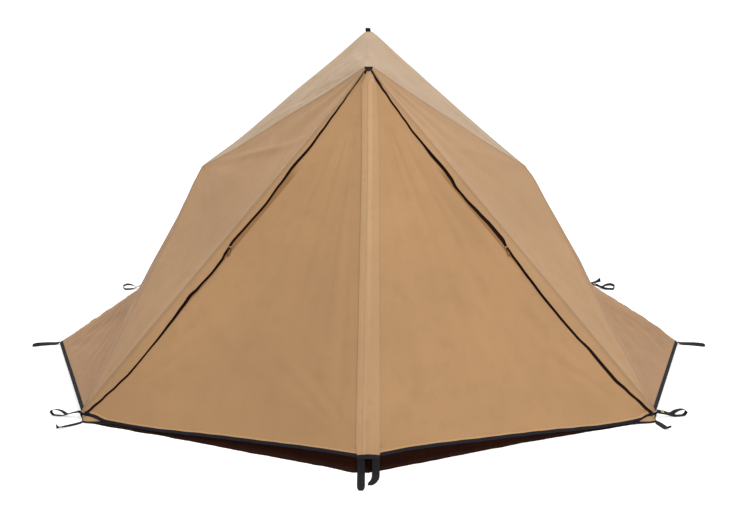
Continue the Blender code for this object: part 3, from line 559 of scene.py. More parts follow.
def tape(name, colour, pitch, ribs, row=0.0035, rough=0.72):
    """Woven tape or webbing: ribs along it, a fine cross weave, and a row of stitching in from each edge."""
    finish = Finish(name, rough, gloss=0.15)
    x, y = finish.layout("cloth")[1:]
    away, run = finish.layout("seam")[1:]
    along = finish.math("SINE", finish.times(y, math.pi / pitch))
    slant = finish.math("SINE", finish.times(finish.plus(x, y), math.pi / ribs))
    weave = finish.plus(along, finish.times(slant, 0.6))
    worn = finish.noise(finish.object_place(), 60.0, 4.0)
    shade = finish.ramp(worn, [(0.35, shaded(colour, 0.80)), (0.75, shaded(colour, 1.35))])
    # painted highlight: the raised ribs of the weave are painted lighter
    shade = finish.tint(shade, shaded(colour, 1.9), finish.spread(weave, 0.4, 1.6, 0.0, 0.30))
    sewn = stitches(finish, away, run, row, 0.0034)
    shade = finish.tint(shade, shaded(colour, 2.6), finish.times(sewn, 0.55))
    normal = finish.bump(weave, 0.00025, 0.6)
    normal = finish.bump(finish.times(sewn, -1.0), 0.0004, 0.8, normal)
    normal = finish.bump(finish.noise(finish.object_place(), 90.0, 3.0), 0.0007, 0.5, normal)
    return finish.done(shade, normal, finish.spread(worn, 0.3, 0.7, rough - 0.08, rough + 0.10))


def coated_cloth(name, colour):
    """The skirt's coated cloth: smoother than canvas, creased, with dust towards the ground."""
    finish = Finish(name, 0.60, gloss=0.03)
    layout, x, y = finish.layout("cloth")
    place = finish.object_place()
    crease = finish.noise(finish.stretched(layout, 30.0, 9.0, 1.0), 1.0, 5.0, 0.6)
    mottle = finish.noise(place, 20.0, 4.0)
    shade = finish.ramp(mottle, [(0.30, shaded(colour, 0.75)), (0.75, shaded(colour, 1.30))])
    dust = finish.spread(finish.node("SeparateXYZ", Vector=place).outputs["Z"], 0.0, 0.02, 0.03, 0.0)
    shade = finish.tint(shade, (0.30, 0.20, 0.14, 1.0), dust)
    normal = finish.bump(plain_weave(finish, x, y, 0.0007), 0.00015, 0.3)
    normal = finish.bump(crease, 0.0050, 0.7, normal)
    return finish.done(shade, normal, finish.spread(crease, 0.3, 0.7, 0.50, 0.70))


def cord_braid(name, colour):
    """Braided cord: slanting strands both ways round it."""
    finish = Finish(name, 0.75)
    x, y = finish.layout("cloth")[1:]
    one = finish.math("SINE", finish.times(finish.plus(x, y), math.pi / 0.0011))
    two = finish.math("SINE", finish.times(finish.minus(x, y), math.pi / 0.0011))
    strand = finish.times(one, two)
    # painted shade and highlight: the braid is painted darker between its strands and lighter on them
    shade = finish.ramp(finish.spread(strand, -1.0, 1.0, 0.0, 1.0),
                        [(0.2, shaded(colour, 0.65)), (0.8, shaded(colour, 1.30))])
    return finish.done(shade, finish.bump(strand, 0.0003, 0.8))


def grained(name, colour, rough, scale, depth):
    """Moulded plastic or rubber with a fine grain and a little wear."""
    finish = Finish(name, rough)
    place = finish.object_place()
    grain = finish.noise(place, scale, 3.0)
    wear = finish.noise(place, 45.0, 5.0, 0.65)
    shade = finish.ramp(wear, [(0.35, shaded(colour, 0.80)), (0.72, shaded(colour, 1.50))])
    normal = finish.bump(grain, depth, 0.5)
    return finish.done(shade, normal, finish.spread(wear, 0.35, 0.70, rough - 0.10, rough + 0.12))


def drawn_metal(name, colour, rough, along=(1.0, 1.0, 0.03), scale=900.0):
    """Metal with fine marks along the way it was drawn, and small scuffs."""
    finish = Finish(name, rough, 1.0)
    place = finish.object_place()
    marks = finish.noise(finish.stretched(place, *along), scale, 4.0)
    scuffs = finish.noise(place, 55.0, 5.0, 0.65)
    shade = finish.ramp(scuffs, [(0.30, shaded(colour, 0.85)), (0.70, shaded(colour, 1.06))])
    normal = finish.bump(marks, 0.00008, 0.5)
    return finish.done(shade, normal, finish.spread(scuffs, 0.35, 0.75, rough - 0.06, rough + 0.16))


# One canvas, given a colour of its own for each kind of panel to match how brightly each is lit: painted
# light and shade, with painted sheen in the roof's greyer tone and light coming through the cloth in the
# door's warmer tone.
CANVAS = (0.486, 0.294, 0.154)
LEAF_CANVAS = (0.504, 0.293, 0.141)
FLAP_CANVAS = (0.496, 0.294, 0.148)
ROOF_CANVAS = (0.480, 0.340, 0.220)
WING_CANVAS = (0.421, 0.248, 0.132)

SIDE_FINISH = canvas("side_canvas", CANVAS)
LEAF_LEANS = (APEX_FRONT - corner(1)).angle(TOE - corner(1))
LEAF_FINISH = canvas("door_canvas", LEAF_CANVAS, hem_highlight=(0.009, 0.018), lap_shadow=(LEAF_LEANS, 0.0600))
ROOF_FINISH = canvas("roof_canvas", ROOF_CANVAS, low_sheen=(0.500, 0.385, 0.275))
WALL_FINISH = canvas("wall_canvas", WING_CANVAS)
FLAP_FINISH = canvas("flap_canvas", FLAP_CANVAS, fell=0.4, pucker=0.6)
# painted light: the strip's colour is a lighter copy of the canvas, and lit makes it lighter still near its
# sewn edge
STRIP_FINISH = canvas("strip_canvas", (0.530, 0.325, 0.170), pucker=0.6, rows_at=(0.0265,), fell_width=0.029,
                      lit=(0.046, 1.17))
BIND_FINISH = tape("hem_binding", (0.011, 0.011, 0.016), 0.0014, 0.0022)
# painted shade: a darker copy of the hem binding for the wing's hem, which faces more of the light
WING_BIND_FINISH = tape("wing_binding", (0.005, 0.005, 0.008), 0.0014, 0.0022)
WEB_FINISH = tape("webbing", (0.012, 0.012, 0.014), 0.0018, 0.0030)
# painted shade: the dark strip under each rain flap stands for the shade in the gap below the flap
SHADE_FINISH = tape("flap_shade_strip", (0.012, 0.004, 0.003), 0.0014, 0.0022, rough=0.85)
# the skirt's very dark colour is partly its own cloth and partly painted shade under the raised door hem
SKIRT_FINISH = coated_cloth("skirt_cloth", (0.020, 0.005, 0.0025))
CORD_FINISH = cord_braid("tie_cord", (0.085, 0.040, 0.017))
TAPE_FINISH = tape("zip_tape", (0.23, 0.14, 0.075), 0.0009, 0.0016, row=0.0060)
STEEL_FINISH = drawn_metal("pole_steel", (0.58, 0.58, 0.60), 0.32)
SLIDER_FINISH = drawn_metal("slider_metal", (0.62, 0.60, 0.56), 0.30, (1.0, 1.0, 1.0), 300.0)
TEETH_FINISH = drawn_metal("zip_teeth", (0.50, 0.40, 0.24), 0.38, (1.0, 1.0, 1.0), 300.0)
BRASS_FINISH = drawn_metal("eyelet_brass", (0.72, 0.50, 0.22), 0.28, (1.0, 1.0, 1.0), 300.0)
CAP_FINISH = grained("cap_plastic", (0.020, 0.020, 0.023), 0.45, 700.0, 0.00012)
FOOT_FINISH = grained("foot_rubber", (0.026, 0.026, 0.026), 0.78, 420.0, 0.0002)
TOGGLE_FINISH = grained("toggle_wood", (0.42, 0.22, 0.11), 0.55, 300.0, 0.0002)


# cloth
def laid(a, b, tip):
    """A triangle laid flat: its first corner at the origin and the second along x."""
    base = (b - a).length
    reach = (tip - a).dot((b - a).normalized())
    height = math.sqrt(max(0.0, (tip - a).length_squared - reach * reach))
    return Vector((0.0, 0.0)), Vector((base, 0.0)), Vector((reach, height))


def laid_beside(p, q, r, flat_p, flat_q, towards):
    """Where the third corner of a triangle lands, laid flat beside an edge that already lies there."""
    reach = (r - p).dot((q - p).normalized())
    height = math.sqrt(max(0.0, (r - p).length_squared - reach * reach))
    along = (flat_q - flat_p).normalized()
    out = Vector((-along.y, along.x)) * towards
    return flat_p + along * reach + out * height


def fan(corners, flats, cut, relief, normal):
    """A triangle of cloth as a fan: u runs along its foot and v up to the tip, less a cut."""
    a, b, tip = corners
    flat_a, flat_b, flat_tip = flats

    def place(u, v):
        foot = a.lerp(b, u)
        rise = v * (1.0 - cut / (tip - foot).length)
        spot = flat_a.lerp(flat_b, u).lerp(flat_tip, rise)
        return foot.lerp(tip, rise) + normal * relief(u, v, spot), spot
    return place


def from_line(spot, line):
    """The distance from a straight line on the flat cloth, and how far along it."""
    start, stop = line
    along = (stop - start).normalized()
    gone = spot - start
    run = gone.dot(along)
    held = min(max(run, 0.0), (stop - start).length)
    return (gone - along * held).length, run


def nearest_seam(spot, seams):
    return min((from_line(spot, seam) for seam in seams), default=(1.0, 0.0))


def cloth(name, patches, thickness, outward, finish, end="front", offset=-1.0, wall=True, settles=True):
    """One cloth piece from grids shaped by functions, each given as columns, rows, place and seams.

    The offset puts the thickness inside (-1), outside (1) or on both sides (0) of the drawn surface.
    Returns the piece, the width and height of its flat cut, and the cut's area.
    """
    bm = bmesh.new()
    weave = bm.loops.layers.uv.new("cloth")
    sewn = bm.loops.layers.uv.new("seam")
    lows = [math.inf, math.inf]
    highs = [-math.inf, -math.inf]
    area = 0.0
    for columns, rows, place, seams in patches:
        made = bmesh.ops.create_grid(bm, x_segments=columns, y_segments=rows, size=0.5)
        spots = {}
        for vert in made["verts"]:
            vert.co, spot = place(vert.co.x + 0.5, vert.co.y + 0.5)
            spots[vert] = spot
            for axis in (0, 1):
                lows[axis] = min(lows[axis], spot[axis])
                highs[axis] = max(highs[axis], spot[axis])
        for face in {face for vert in made["verts"] for face in vert.link_faces}:
            ring = [spots[loop.vert] for loop in face.loops]
            area += abs(sum(p.x * q.y - q.x * p.y for p, q in zip(ring, ring[1:] + ring[:1]))) * 0.5
            for loop in face.loops:
                loop[weave].uv = spots[loop.vert]
                loop[sewn].uv = nearest_seam(spots[loop.vert], seams)
    bmesh.ops.remove_doubles(bm, verts=bm.verts, dist=MERGE)
    bmesh.ops.recalc_face_normals(bm, faces=bm.faces)
    bm.normal_update()
    total = Vector()
    for face in bm.faces:
        total += face.normal * face.calc_area()
    if wall and total.dot(outward) < 0.0:
        bmesh.ops.reverse_faces(bm, faces=bm.faces)
    mesh = bpy.data.meshes.new(name)
    bm.to_mesh(mesh)
    bm.free()
    mesh.transform(turned(end))
    if settles:
        for vert in mesh.vertices:
            vert.co = drawn_in(vert.co)
    made = bpy.data.objects.new(name, mesh)
    SCENE.collection.objects.link(made)
    mesh.materials.append(finish)
    mesh.shade_smooth()
    if wall:
        solid = made.modifiers.new("thickness", "SOLIDIFY")
        solid.thickness = thickness
        solid.offset = offset
        solid.use_even_offset = True
        apply(made, solid)
        made.data.set_sharp_from_angle(angle=math.radians(50))
    return made, (highs[0] - lows[0], highs[1] - lows[1]), area


def apply(made, modifier):
    bpy.ops.object.select_all(action="DESELECT")
    bpy.context.view_layer.objects.active = made
    made.select_set(True)
    bpy.ops.object.modifier_apply(modifier=modifier.name)
    made.select_set(False)


def bevelled(made, width, segments, angle=30.0):
    """Rounds a piece's sharp edges."""
    rounding = made.modifiers.new("rounded edges", "BEVEL")
    rounding.width = width
    rounding.segments = segments
    rounding.limit_method = "ANGLE"
    rounding.angle_limit = math.radians(angle)
    apply(made, rounding)


def frame_at(spot, x, y, z):
    """The matrix that carries a piece's own axes to three directions at a place."""
    made = Matrix((x, y, z)).transposed().to_4x4()
    made.translation = spot
    return made


CUTS = []


def declare(piece):
    """Says that a piece is a sheet, with the cut that its flat layout gives."""
    made, (width, length), area = piece
    share = min(area, width * length)
    CUTS.append((made.name, round(width, 3), round(length, 3), round(share, 3)))


def dress(made, body, slot, *nodes):
    """Sets a piece on its body, in place of its CAD nodes."""
    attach(made, body)
    if nodes:
        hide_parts(*nodes)


def rays(spot, anchor, count, reach, depth, phase):
    """Soft folds that fan out from a pulled point, deepest at a distance from it."""
    gone = spot - anchor
    far = gone.length / reach
    turn = math.atan2(gone.y, gone.x)
    uneven = 0.35 * wander(turn * 3.0, phase, 0.0)
    return depth * math.sin(count * (turn + uneven) + phase) * far * math.exp(1.0 - far)


def pulled(spot, points, *folds):
    """Rays from several pulled points together, each given as the point's index and the rest of rays()."""
    return sum(rays(spot, points[index], *rest) for index, *rest in folds)


def crease(spot, start, stop, width, depth):
    """One long soft ridge between two places of the flat cloth."""
    away, run = from_line(spot, (start, stop))
    share = min(max(run / (stop - start).length, 0.0), 1.0)
    return depth * math.exp(-(away / width) ** 2) * math.sin(math.pi * share) ** 0.5


def drift(spot, scale, depth, seed):
    """Slow unevenness of the cloth."""
    return depth * wander(spot.x * scale, spot.y * scale, seed)


def slack(depth, u, v):
    """The shallow sag of a panel pulled at its corners, with straight edges."""
    return -depth * math.sin(math.pi * u) * math.sin(math.pi * min(1.0, v)) ** 1.2


def from_edges(spot, flats):
    """Distance from the nearest edge of a flat triangle."""
    a, b, c = flats
    return min(from_line(spot, line)[0] for line in ((a, b), (b, c), (c, a)))


def edges_of(flats):
    a, b, c = flats
    return [(a, b), (b, c), (c, a)]


ROOF_SAG = 0.016
SIDE_SAG = 0.012
WALL_SAG = 0.008


def roof():
    """Both roof slopes as one cloth over the ridge, with folds that fan from the two apexes."""
    patches = []
    for side in (-1, 1):
        here = SIDES[side]
        eave = seam_inset(here.roof_out, here.side_out)
        tip = shoulder(side)
        front = inset(APEX_FRONT, APEX_REAR, tip, 0.0, eave)
        rear = inset(APEX_REAR, APEX_FRONT, tip, 0.0, eave)
        point = inset(tip, APEX_FRONT, APEX_REAR, eave, eave)
        corners = (front, rear, point)
        flats = laid(*corners)
        flats = [Vector((spot.x, spot.y * side)) for spot in flats]

        def relief(u, v, spot, flats=flats, side=side):
            near = edge_fade(from_edges(spot, flats), 0.10)
            folds = pulled(spot, flats, (0, 13.0, 0.42, 0.0080, 0.6 + side),
                           (1, 11.0, 0.40, 0.0068, 2.1 - side), (2, 15.0, 0.34, 0.0056, 1.3 * side),
                           (0, 29.0, 0.20, 0.0040, 1.9 * side), (1, 27.0, 0.22, 0.0046, 0.8 * side))
            return slack(ROOF_SAG, u, v) + near * (folds + drift(spot, 4.0, 0.0030, 3.0 + side))

        place = fan(corners, flats, SHOULDER_CUT, relief, here.roof_out)
        patches.append((70, 56, place, edges_of(flats)[1:]))
    piece = cloth("roof", patches, CLOTH, Vector((0, 0, 1)), ROOF_FINISH)
    dress(piece[0], "root", "roof_canvas", "roof_left", "roof_right")
    declare(piece)


def side_panel(end, side):
    here = SIDES[side]
    name = sided(end, side) + "_side"
    eave = seam_inset(here.roof_out, here.side_out)
    wall = seam_inset(here.wall_out, here.side_out)
    top = inset(here.shoulder, here.corner, APEX_FRONT, wall, eave)
    foot = inset(here.corner, here.shoulder, APEX_FRONT, wall, here.hinge_inset)
    tip = inset(APEX_FRONT, here.shoulder, here.corner, eave, here.hinge_inset)
    corners = (top, foot, tip)
    flats = laid(*corners)
    pull = flats[1].lerp(flats[2], 0.80)
    low = flats[1].lerp(flats[2], 0.45)

    def relief(u, v, spot):
        near = edge_fade(from_edges(spot, flats), 0.07)
        folds = crease(spot, flats[0], pull, 0.013, 0.0085 if side < 0 else 0.0040)
        folds += crease(spot, flats[0], low, 0.040, -0.0030)
        folds += pulled(spot, flats, (0, 14.0, 0.20, 0.0022, side * 1.1), (1, 17.0, 0.30, 0.0030, side * 2.0),
                        (2, 19.0, 0.30, 0.0026, side * 0.7))
        return slack(SIDE_SAG, u, v) + near * (folds + drift(spot, 5.0, 0.0028, 11.0 + side))

    place = fan(corners, flats, SIDE_CUT, relief, here.side_out)
    piece = cloth(name, [(60, 64, place, edges_of(flats))], CLOTH, here.side_out, SIDE_FINISH, end)
    dress(piece[0], "root", "canvas", name + "_panel")
    declare(piece)


def wall(side):
    """The side wall and wing: one kite of cloth with a crease from each corner to the knee."""
    node = side_name("front", side) + "_wall"
    here = SIDES[side]
    back = seam_inset(here.wall_out, here.side_out)
    head = here.shoulder
    bend = knee(side)
    tip = wing(side)
    top = inset(head, here.corner, bend, back, 0.0)
    foot = inset(here.corner, head, bend, back, 0.0)
    upper = (foot, bend, top)
    upper_flats = laid(*upper)
    tip_flat = laid_beside(foot, bend, tip, upper_flats[0], upper_flats[1], -1.0)
    lower = (bend, tip, foot)
    lower_flats = (upper_flats[1], tip_flat, upper_flats[0])
    lower_out = facing(bend, tip, foot, Vector((side, 0, 0.4)))
    fold = (upper_flats[0], upper_flats[1])
    patches = []
    for front in (True, False):
        seed = 21.0 + side + (0.0 if front else 5.0)

        def upper_relief(u, v, spot, seed=seed):
            edges = [(upper_flats[0], upper_flats[2]), fold]
            near = edge_fade(min(from_line(spot, line)[0] for line in edges), 0.08)
            middle = edge_fade(from_line(spot, (upper_flats[1], upper_flats[2]))[0], 0.10)
            folds = pulled(spot, upper_flats, (0, 19.0, 0.26, 0.0028, seed),
                           (1, 15.0, 0.22, 0.0030, seed * 2.0))
            return slack(WALL_SAG, u, v) + near * middle * (folds + drift(spot, 5.0, 0.0030, seed))

        def lower_relief(u, v, spot, seed=seed):
            hem = edge_fade(from_line(spot, (lower_flats[1], lower_flats[2]))[0] - 0.022, 0.06)
            near = edge_fade(from_line(spot, fold)[0], 0.05) * hem
            middle = edge_fade(from_line(spot, (lower_flats[0], lower_flats[1]))[0], 0.06)
            folds = pulled(spot, lower_flats, (0, 21.0, 0.20, 0.0042, seed),
                           (1, 15.0, 0.22, 0.0030, seed * 1.7), (2, 23.0, 0.22, 0.0026, seed * 0.6))
            return near * middle * (folds + drift(spot, 6.0, 0.0030, seed + 1.0))

        for corners, flats, relief, out, grid in (
                (upper, upper_flats, upper_relief, here.wall_out, (44, 48)),
                (lower, lower_flats, lower_relief, lower_out, (40, 52))):
            drawn = fan(corners, flats, 0.0, relief, out)

            def place(u, v, drawn=drawn, front=front):
                co, spot = drawn(u, v)
                return (co if front else Vector((co.x, -co.y, co.z))), spot

            seams = [(upper_flats[0], upper_flats[2]), (lower_flats[1], lower_flats[2])]
            patches.append((*grid, place, seams))
    made, size, area = cloth(node + "_and_wing", patches, CLOTH, Vector((side, 0, 0)), WALL_FINISH)
    dress(made, "root", "canvas", node)
    declare((made, (size[0] * 2.0, size[1]), area))


def leaf_relief(side, flats):
    """A billow, soft folds that fan down from the apex, and pulls from the corner, flat at hem and edges."""
    foot, toe, tip = flats
    low = hem_share()

    def relief(u, v, spot):
        if v <= low:
            return 0.0
        rise = (v - low) / (1.0 - low)
        from_seam = from_line(spot, (foot, tip))[0]
        from_centre = from_line(spot, (toe, tip))[0]
        fade = math.sin(math.pi * u) ** 1.5 * math.sin(math.pi * rise ** 0.8)
        base = -0.010 + 0.006 * math.sin(2.5 * math.tau * u)
        base *= edge_fade(from_seam - 0.078, 0.06)
        lean = 0.03 * wander(u * 3.0, rise * 2.0, 40.0 + side)
        fine = 0.0016 * math.sin(13.0 * math.tau * (u + lean) * 0.5 + side)
        fine += 0.0008 * math.sin(23.0 * math.tau * (u + lean) * 0.5 + 2.0 * side)
        near = edge_fade(from_seam - 0.080, 0.08) * edge_fade(from_centre - 0.056, 0.06)
        near *= edge_fade(rise, 0.10) * edge_fade(1.0 - rise, 0.15)
        folds = fine + rays(spot, foot, 21.0, 0.26, 0.0026, 0.9 * side)
        folds += rays(spot, toe, 17.0, 0.24, 0.0018, 1.7 * side)
        folds += crease(spot, toe.lerp(foot, 0.11), toe.lerp(foot, 0.11).lerp(tip, 0.80), 0.030,
                        -0.0045 if side < 0 else -0.0012)
        return fade * base + near * (folds + drift(spot, 4.5, 0.0034, 31.0 + side))
    return relief


def door_leaf(end, side):
    here = SIDES[side]
    foot, toe, tip = leaf_points(here)
    up = hem_frame(here)[-1]
    flats = laid(foot, toe, tip)
    name = sided(end, side)
    straight = fan((foot, toe, tip), flats, LEAF_CUT, leaf_relief(side, flats), here.leaf_out)

    def place(u, v):
        co, spot = straight(u, v)
        return co - up * (hem_drop(side, u) * (1.0 - edge_fade((co - foot).dot(up), HEM_FADE))), spot

    piece = cloth(name + "_door", [(110, 100, place, edges_of(flats))], CLOTH, here.leaf_out, LEAF_FINISH,
                  end)
    dress(piece[0], name + "_leaf", "canvas", name + "_door_leaf")
    declare(piece)


def bound_edge(name, start, stop, up, out, end, columns, finish, to_middle=False, front=BIND_WIDTH,
               drop=None):
    """Tape folded over a hem: a rounded fold under the edge and a leg on each side of the cloth.

    With to_middle it stops at the tent's middle plane and is mirrored there.
    """
    ripple = 0.0004
    back = -BIND_CLEAR - CLOTH
    middle = (BIND_CLEAR + back) * 0.5
    half = (BIND_CLEAR - back) * 0.5
    legs = 5
    profile = [(front * (1.0 - step / legs), BIND_CLEAR) for step in range(legs + 1)]
    profile += [(-math.sin(math.radians(turn)) * half * 0.6, middle + math.cos(math.radians(turn)) * half)
                for turn in (30, 60, 90, 120, 150)]
    profile += [(BIND_WIDTH * step / legs, back) for step in range(legs + 1)]
    runs = [0.0]
    for before, after in zip(profile, profile[1:]):
        runs.append(runs[-1] + math.hypot(after[0] - before[0], after[1] - before[1]))
    length = (stop - start).length
    last = len(profile) - 1

    def place(v, u):
        step = min(last - 1, int(v * last + 1e-6))
        mix = v * last - step
        rise, height = Vector(profile[step]).lerp(Vector(profile[step + 1]), mix)
        outer = 1.0 if height > middle else -1.0
        wave = max(0.0, ripple * wander(u * length * 25.0, 0.0, length) * outer)
        shift = up * rise + out * (height + wave * outer * rise / BIND_WIDTH)
        if drop:
            shift -= up * drop(u)
        spot_start = start + shift
        spot_stop = stop + shift
        if to_middle:
            spot_stop = spot_start + (spot_stop - spot_start) * (spot_start.y / (spot_start.y - spot_stop.y))
        run = runs[step] + (runs[step + 1] - runs[step]) * mix
        return spot_start.lerp(spot_stop, u), Vector((run, u * length))

    def mirrored(v, u):
        co, spot = place(v, u)
        return Vector((co.x, -co.y, co.z)), spot

    edges = [(Vector((run, 0.0)), Vector((run, length))) for run in (0.0, runs[-1])]
    patches = [(last, columns, shape, edges) for shape in ((place, mirrored) if to_middle else (place,))]
    return cloth(name, patches, BIND_CLOTH, -up, finish, end, offset=1.0)[0]


def door_hem(end, side):
    here = SIDES[side]
    foot, toe, along, up = hem_frame(here)
    name = sided(end, side)
    whole = (toe - foot).length
    bound = whole - BIND_END - BIND_TOE_CUT
    made = bound_edge(name + "_door_binding", foot + along * BIND_END, toe - along * BIND_TOE_CUT, up,
                      here.leaf_out, end, 120, BIND_FINISH, front=BIND_FRONT,
                      drop=lambda u: hem_drop(side, (BIND_END + bound * u) / whole))
    dress(made, name + "_leaf", "hem_binding", name + "_door_hem")


def wall_hem(side):
    name = side_name("front", side) + "_wall_"
    foot = corner_root(SIDES[side])
    tip = wing(side)
    out = facing(foot, knee(side), tip, Vector((side, 0, 0.4)))
    along = (tip - foot).normalized()
    up = across(along, out, knee(side) - tip)
    made = bound_edge(name + "binding", foot + along * WALL_BIND_END, tip, up, out, "front", 90,
                      WING_BIND_FINISH, to_middle=True)
    dress(made, "root", "hem_binding", name + "hem")


# How far the skirt's foot lies forward of the hem's straight line, by the share of the way to the toe
LEFT_FLARE = ((0.00, 0.040), (0.10, 0.042), (0.20, 0.037), (0.30, 0.033), (0.50, 0.030), (0.80, 0.030),
              (0.95, 0.031), (1.00, 0.014))
RIGHT_FLARE = ((0.00, 0.030), (0.08, 0.029), (0.17, 0.021), (0.30, 0.011), (0.55, 0.002), (0.80, 0.0055),
               (0.95, 0.011), (1.00, 0.014))


def skirt(end, side):
    """The ground skirt, its dark colour partly painted shade under the hem: it hangs from behind the hem and
    turns forward where it meets the ground.
    """
    here = SIDES[side]
    foot, toe, along, up = hem_frame(here)
    behind = CLOTH + 2.0 * BIND_CLEAR + BIND_CLOTH + SKIRT_CLEAR
    whole = (toe - foot).length
    start = foot + along * SKIRT_END
    stop = toe - along * SKIRT_TOE_CUT
    length = (stop - start).length
    flare = LEFT_FLARE if side < 0 else RIGHT_FLARE

    def place(u, v):
        run = u * length
        share = (SKIRT_END + run) / whole
        line = start.lerp(stop, u)
        hung = line - up * hem_drop(side, share)
        head = hung + up * SKIRT_LAP - here.leaf_out * behind
        ends = edge_fade(min(u, 1.0 - u) * length, 0.05)
        wave = wander(run * 9.0, 0.3, 51.0 + side) + 0.5 * wander(run * 27.0, 0.9, 52.0)
        base = Vector((line.x, line.y - along_table(flare, share) + 0.006 * ends * wave, SKIRT_GROUND))
        steep = 2.2 + 1.8 * max(0.0, 1.0 - hung.z / 0.03)
        co = head.lerp(base, v * v)
        co.z = SKIRT_GROUND + (head.z - SKIRT_GROUND) * (1.0 - v) ** steep
        past = edge_fade(0.040 - (length - run), 0.040)
        co.x += (SKIRT_MEET[side] - co.x) * past
        co.y -= SKIRT_AHEAD * past if side < 0 else 0.0
        return co, Vector((run, (head - base).length * v))

    name = sided(end, side)
    edge = [(Vector((0.0, 0.0)), Vector((length, 0.0)))]
    piece = cloth(name + "_skirt", [(160, 12, place, edge)], SKIRT_CLOTH, here.leaf_out, SKIRT_FINISH, end)
    dress(piece[0], name + "_leaf", "skirt_cloth", name + "_ground_skirt")
    declare(piece)


GUSSET = ((1.256, -0.990, 0.021), (1.246, -1.024, 0.004), (1.140, -1.026, 0.006))
GUSSET_BOUND = ((1.252, -1.022, 0.0045), (1.236, -1.032, 0.0040), (1.180, -1.042, 0.0038),
                (1.110, -1.050, 0.0032))
CORNER_PATCH = ((1.279, -0.966, 0.0275), (1.264, -0.979, 0.0270), (1.250, -0.990, 0.0235),
                (1.236, -0.998, 0.0190))


def corner_gusset(end, side):
    """The tan triangle that closes the hem's end at the corner, its foot tape and the patch above it."""
    here = SIDES[side]
    points, foot_path, patch_path = ([Vector((side * x, y, z)) for x, y, z in table]
                                     for table in (GUSSET, GUSSET_BOUND, CORNER_PATCH))
    flats = laid(*points)
    name = sided(end, side)
    straight = fan(points, flats, 0.0, lambda u, v, spot: 0.0, here.leaf_out)
    piece = cloth(name + "_corner_gusset", [(8, 12, straight, edges_of(flats)[:1])], CLOTH, here.leaf_out,
                  FLAP_FINISH, end)
    dress(piece[0], name + "_leaf", "canvas")
    edge = ribbon(name + "_gusset_binding", smooth(foot_path, 8), Vector((0, 1, 0.25)),
                  Vector((0, 1, 0.05)), 0.014, 0.0012, end, finish=BIND_FINISH)
    dress(edge, name + "_leaf", "hem_binding")
    upright = Vector((0, -0.35, 1))
    patch = ribbon(name + "_corner_patch", smooth(patch_path, 6), upright, upright, 0.016, 0.0014, end,
                   finish=BIND_FINISH)
    dress(patch, "root", "webbing")


# Width of the rain flap at shares of the seam from the corner up, and how much of the painted shade strip
# shows beside it
LEFT_RAIN = ((0.00, 0.012), (0.02, 0.023), (0.06, 0.038), (0.10, 0.050), (0.14, 0.059), (0.18, 0.060),
             (0.23, 0.059), (0.29, 0.054), (0.335, 0.048), (0.36, 0.043), (0.385, 0.051), (0.43, 0.056),
             (0.465, 0.052), (0.485, 0.042), (0.515, 0.033), (0.56, 0.036), (0.62, 0.040), (0.68, 0.031),
             (0.725, 0.024), (0.78, 0.028), (0.83, 0.021), (0.87, 0.014), (0.905, 0.009), (0.925, 0.004),
             (0.95, 0.001), (1.00, 0.001))
RIGHT_RAIN = ((0.00, 0.012), (0.03, 0.022), (0.08, 0.038), (0.12, 0.049), (0.17, 0.050), (0.20, 0.050),
              (0.25, 0.061), (0.30, 0.064), (0.36, 0.064), (0.42, 0.058), (0.47, 0.051), (0.50, 0.044),
              (0.52, 0.031), (0.56, 0.031), (0.60, 0.037), (0.64, 0.045), (0.67, 0.046), (0.70, 0.034),
              (0.72, 0.031), (0.77, 0.034), (0.83, 0.034), (0.86, 0.027), (0.90, 0.020), (0.94, 0.010),
              (0.96, 0.004), (1.00, 0.001))
LEFT_GAP = ((0.00, 0.012), (0.03, 0.011), (0.06, 0.008), (0.14, 0.008), (0.20, 0.006), (0.28, 0.009),
            (0.36, 0.011), (0.40, 0.005), (0.50, 0.008), (0.60, 0.008), (0.66, 0.007), (0.72, 0.009),
            (0.76, 0.008), (0.80, 0.007), (0.90, 0.006), (0.94, 0.004), (1.00, 0.003))
RIGHT_GAP = ((0.00, 0.014), (0.03, 0.014), (0.06, 0.011), (0.12, 0.014), (0.18, 0.014), (0.24, 0.009),
             (0.34, 0.007), (0.40, 0.007), (0.50, 0.006), (0.52, 0.016), (0.60, 0.014), (0.66, 0.008),
             (0.69, 0.012), (0.76, 0.012), (0.80, 0.006), (0.86, 0.006), (0.92, 0.008), (0.96, 0.011),
             (0.985, 0.004), (1.00, 0.003))


def rain_flap(end, side):
    """The lip of cloth over the slanting seam, wavy along its free edge and standing off the leaf."""
    here = SIDES[side]
    length = here.seam_length
    low = RAIN_FOOT_CUT / length
    high = 1.0 - RAIN_TOP_CUT / length
    table = LEFT_RAIN if side < 0 else RIGHT_RAIN

    def place(u, v):
        share = low + (high - low) * v
        width = along_table(table, share)
        flutter = 0.75 + 0.25 * math.cos(2.5 * math.tau * v)
        lift = 0.010 * math.sin(math.pi * v) ** 0.6 * flutter
        lift += 0.0012 * wander(share * 14.0, 0.0, 61.0 + side) * math.sin(math.pi * v)
        root = here.corner.lerp(APEX_FRONT, share)
        rise = lift * math.sin(0.5 * math.pi * u)
        co = root + here.seam_in * (here.hinge_inset + width * u) + here.leaf_out * rise
        return co, Vector((width * u, share * length))

    name = sided(end, side)
    seams = [(Vector((0.0, 0.0)), Vector((0.0, length)))]
    piece = cloth(name + "_rain_lip", [(8, 170, place, seams)], RAIN_CLOTH, here.leaf_out, FLAP_FINISH, end)
    dress(piece[0], name + "_leaf", "canvas", name + "_rain_flap")
    declare(piece)


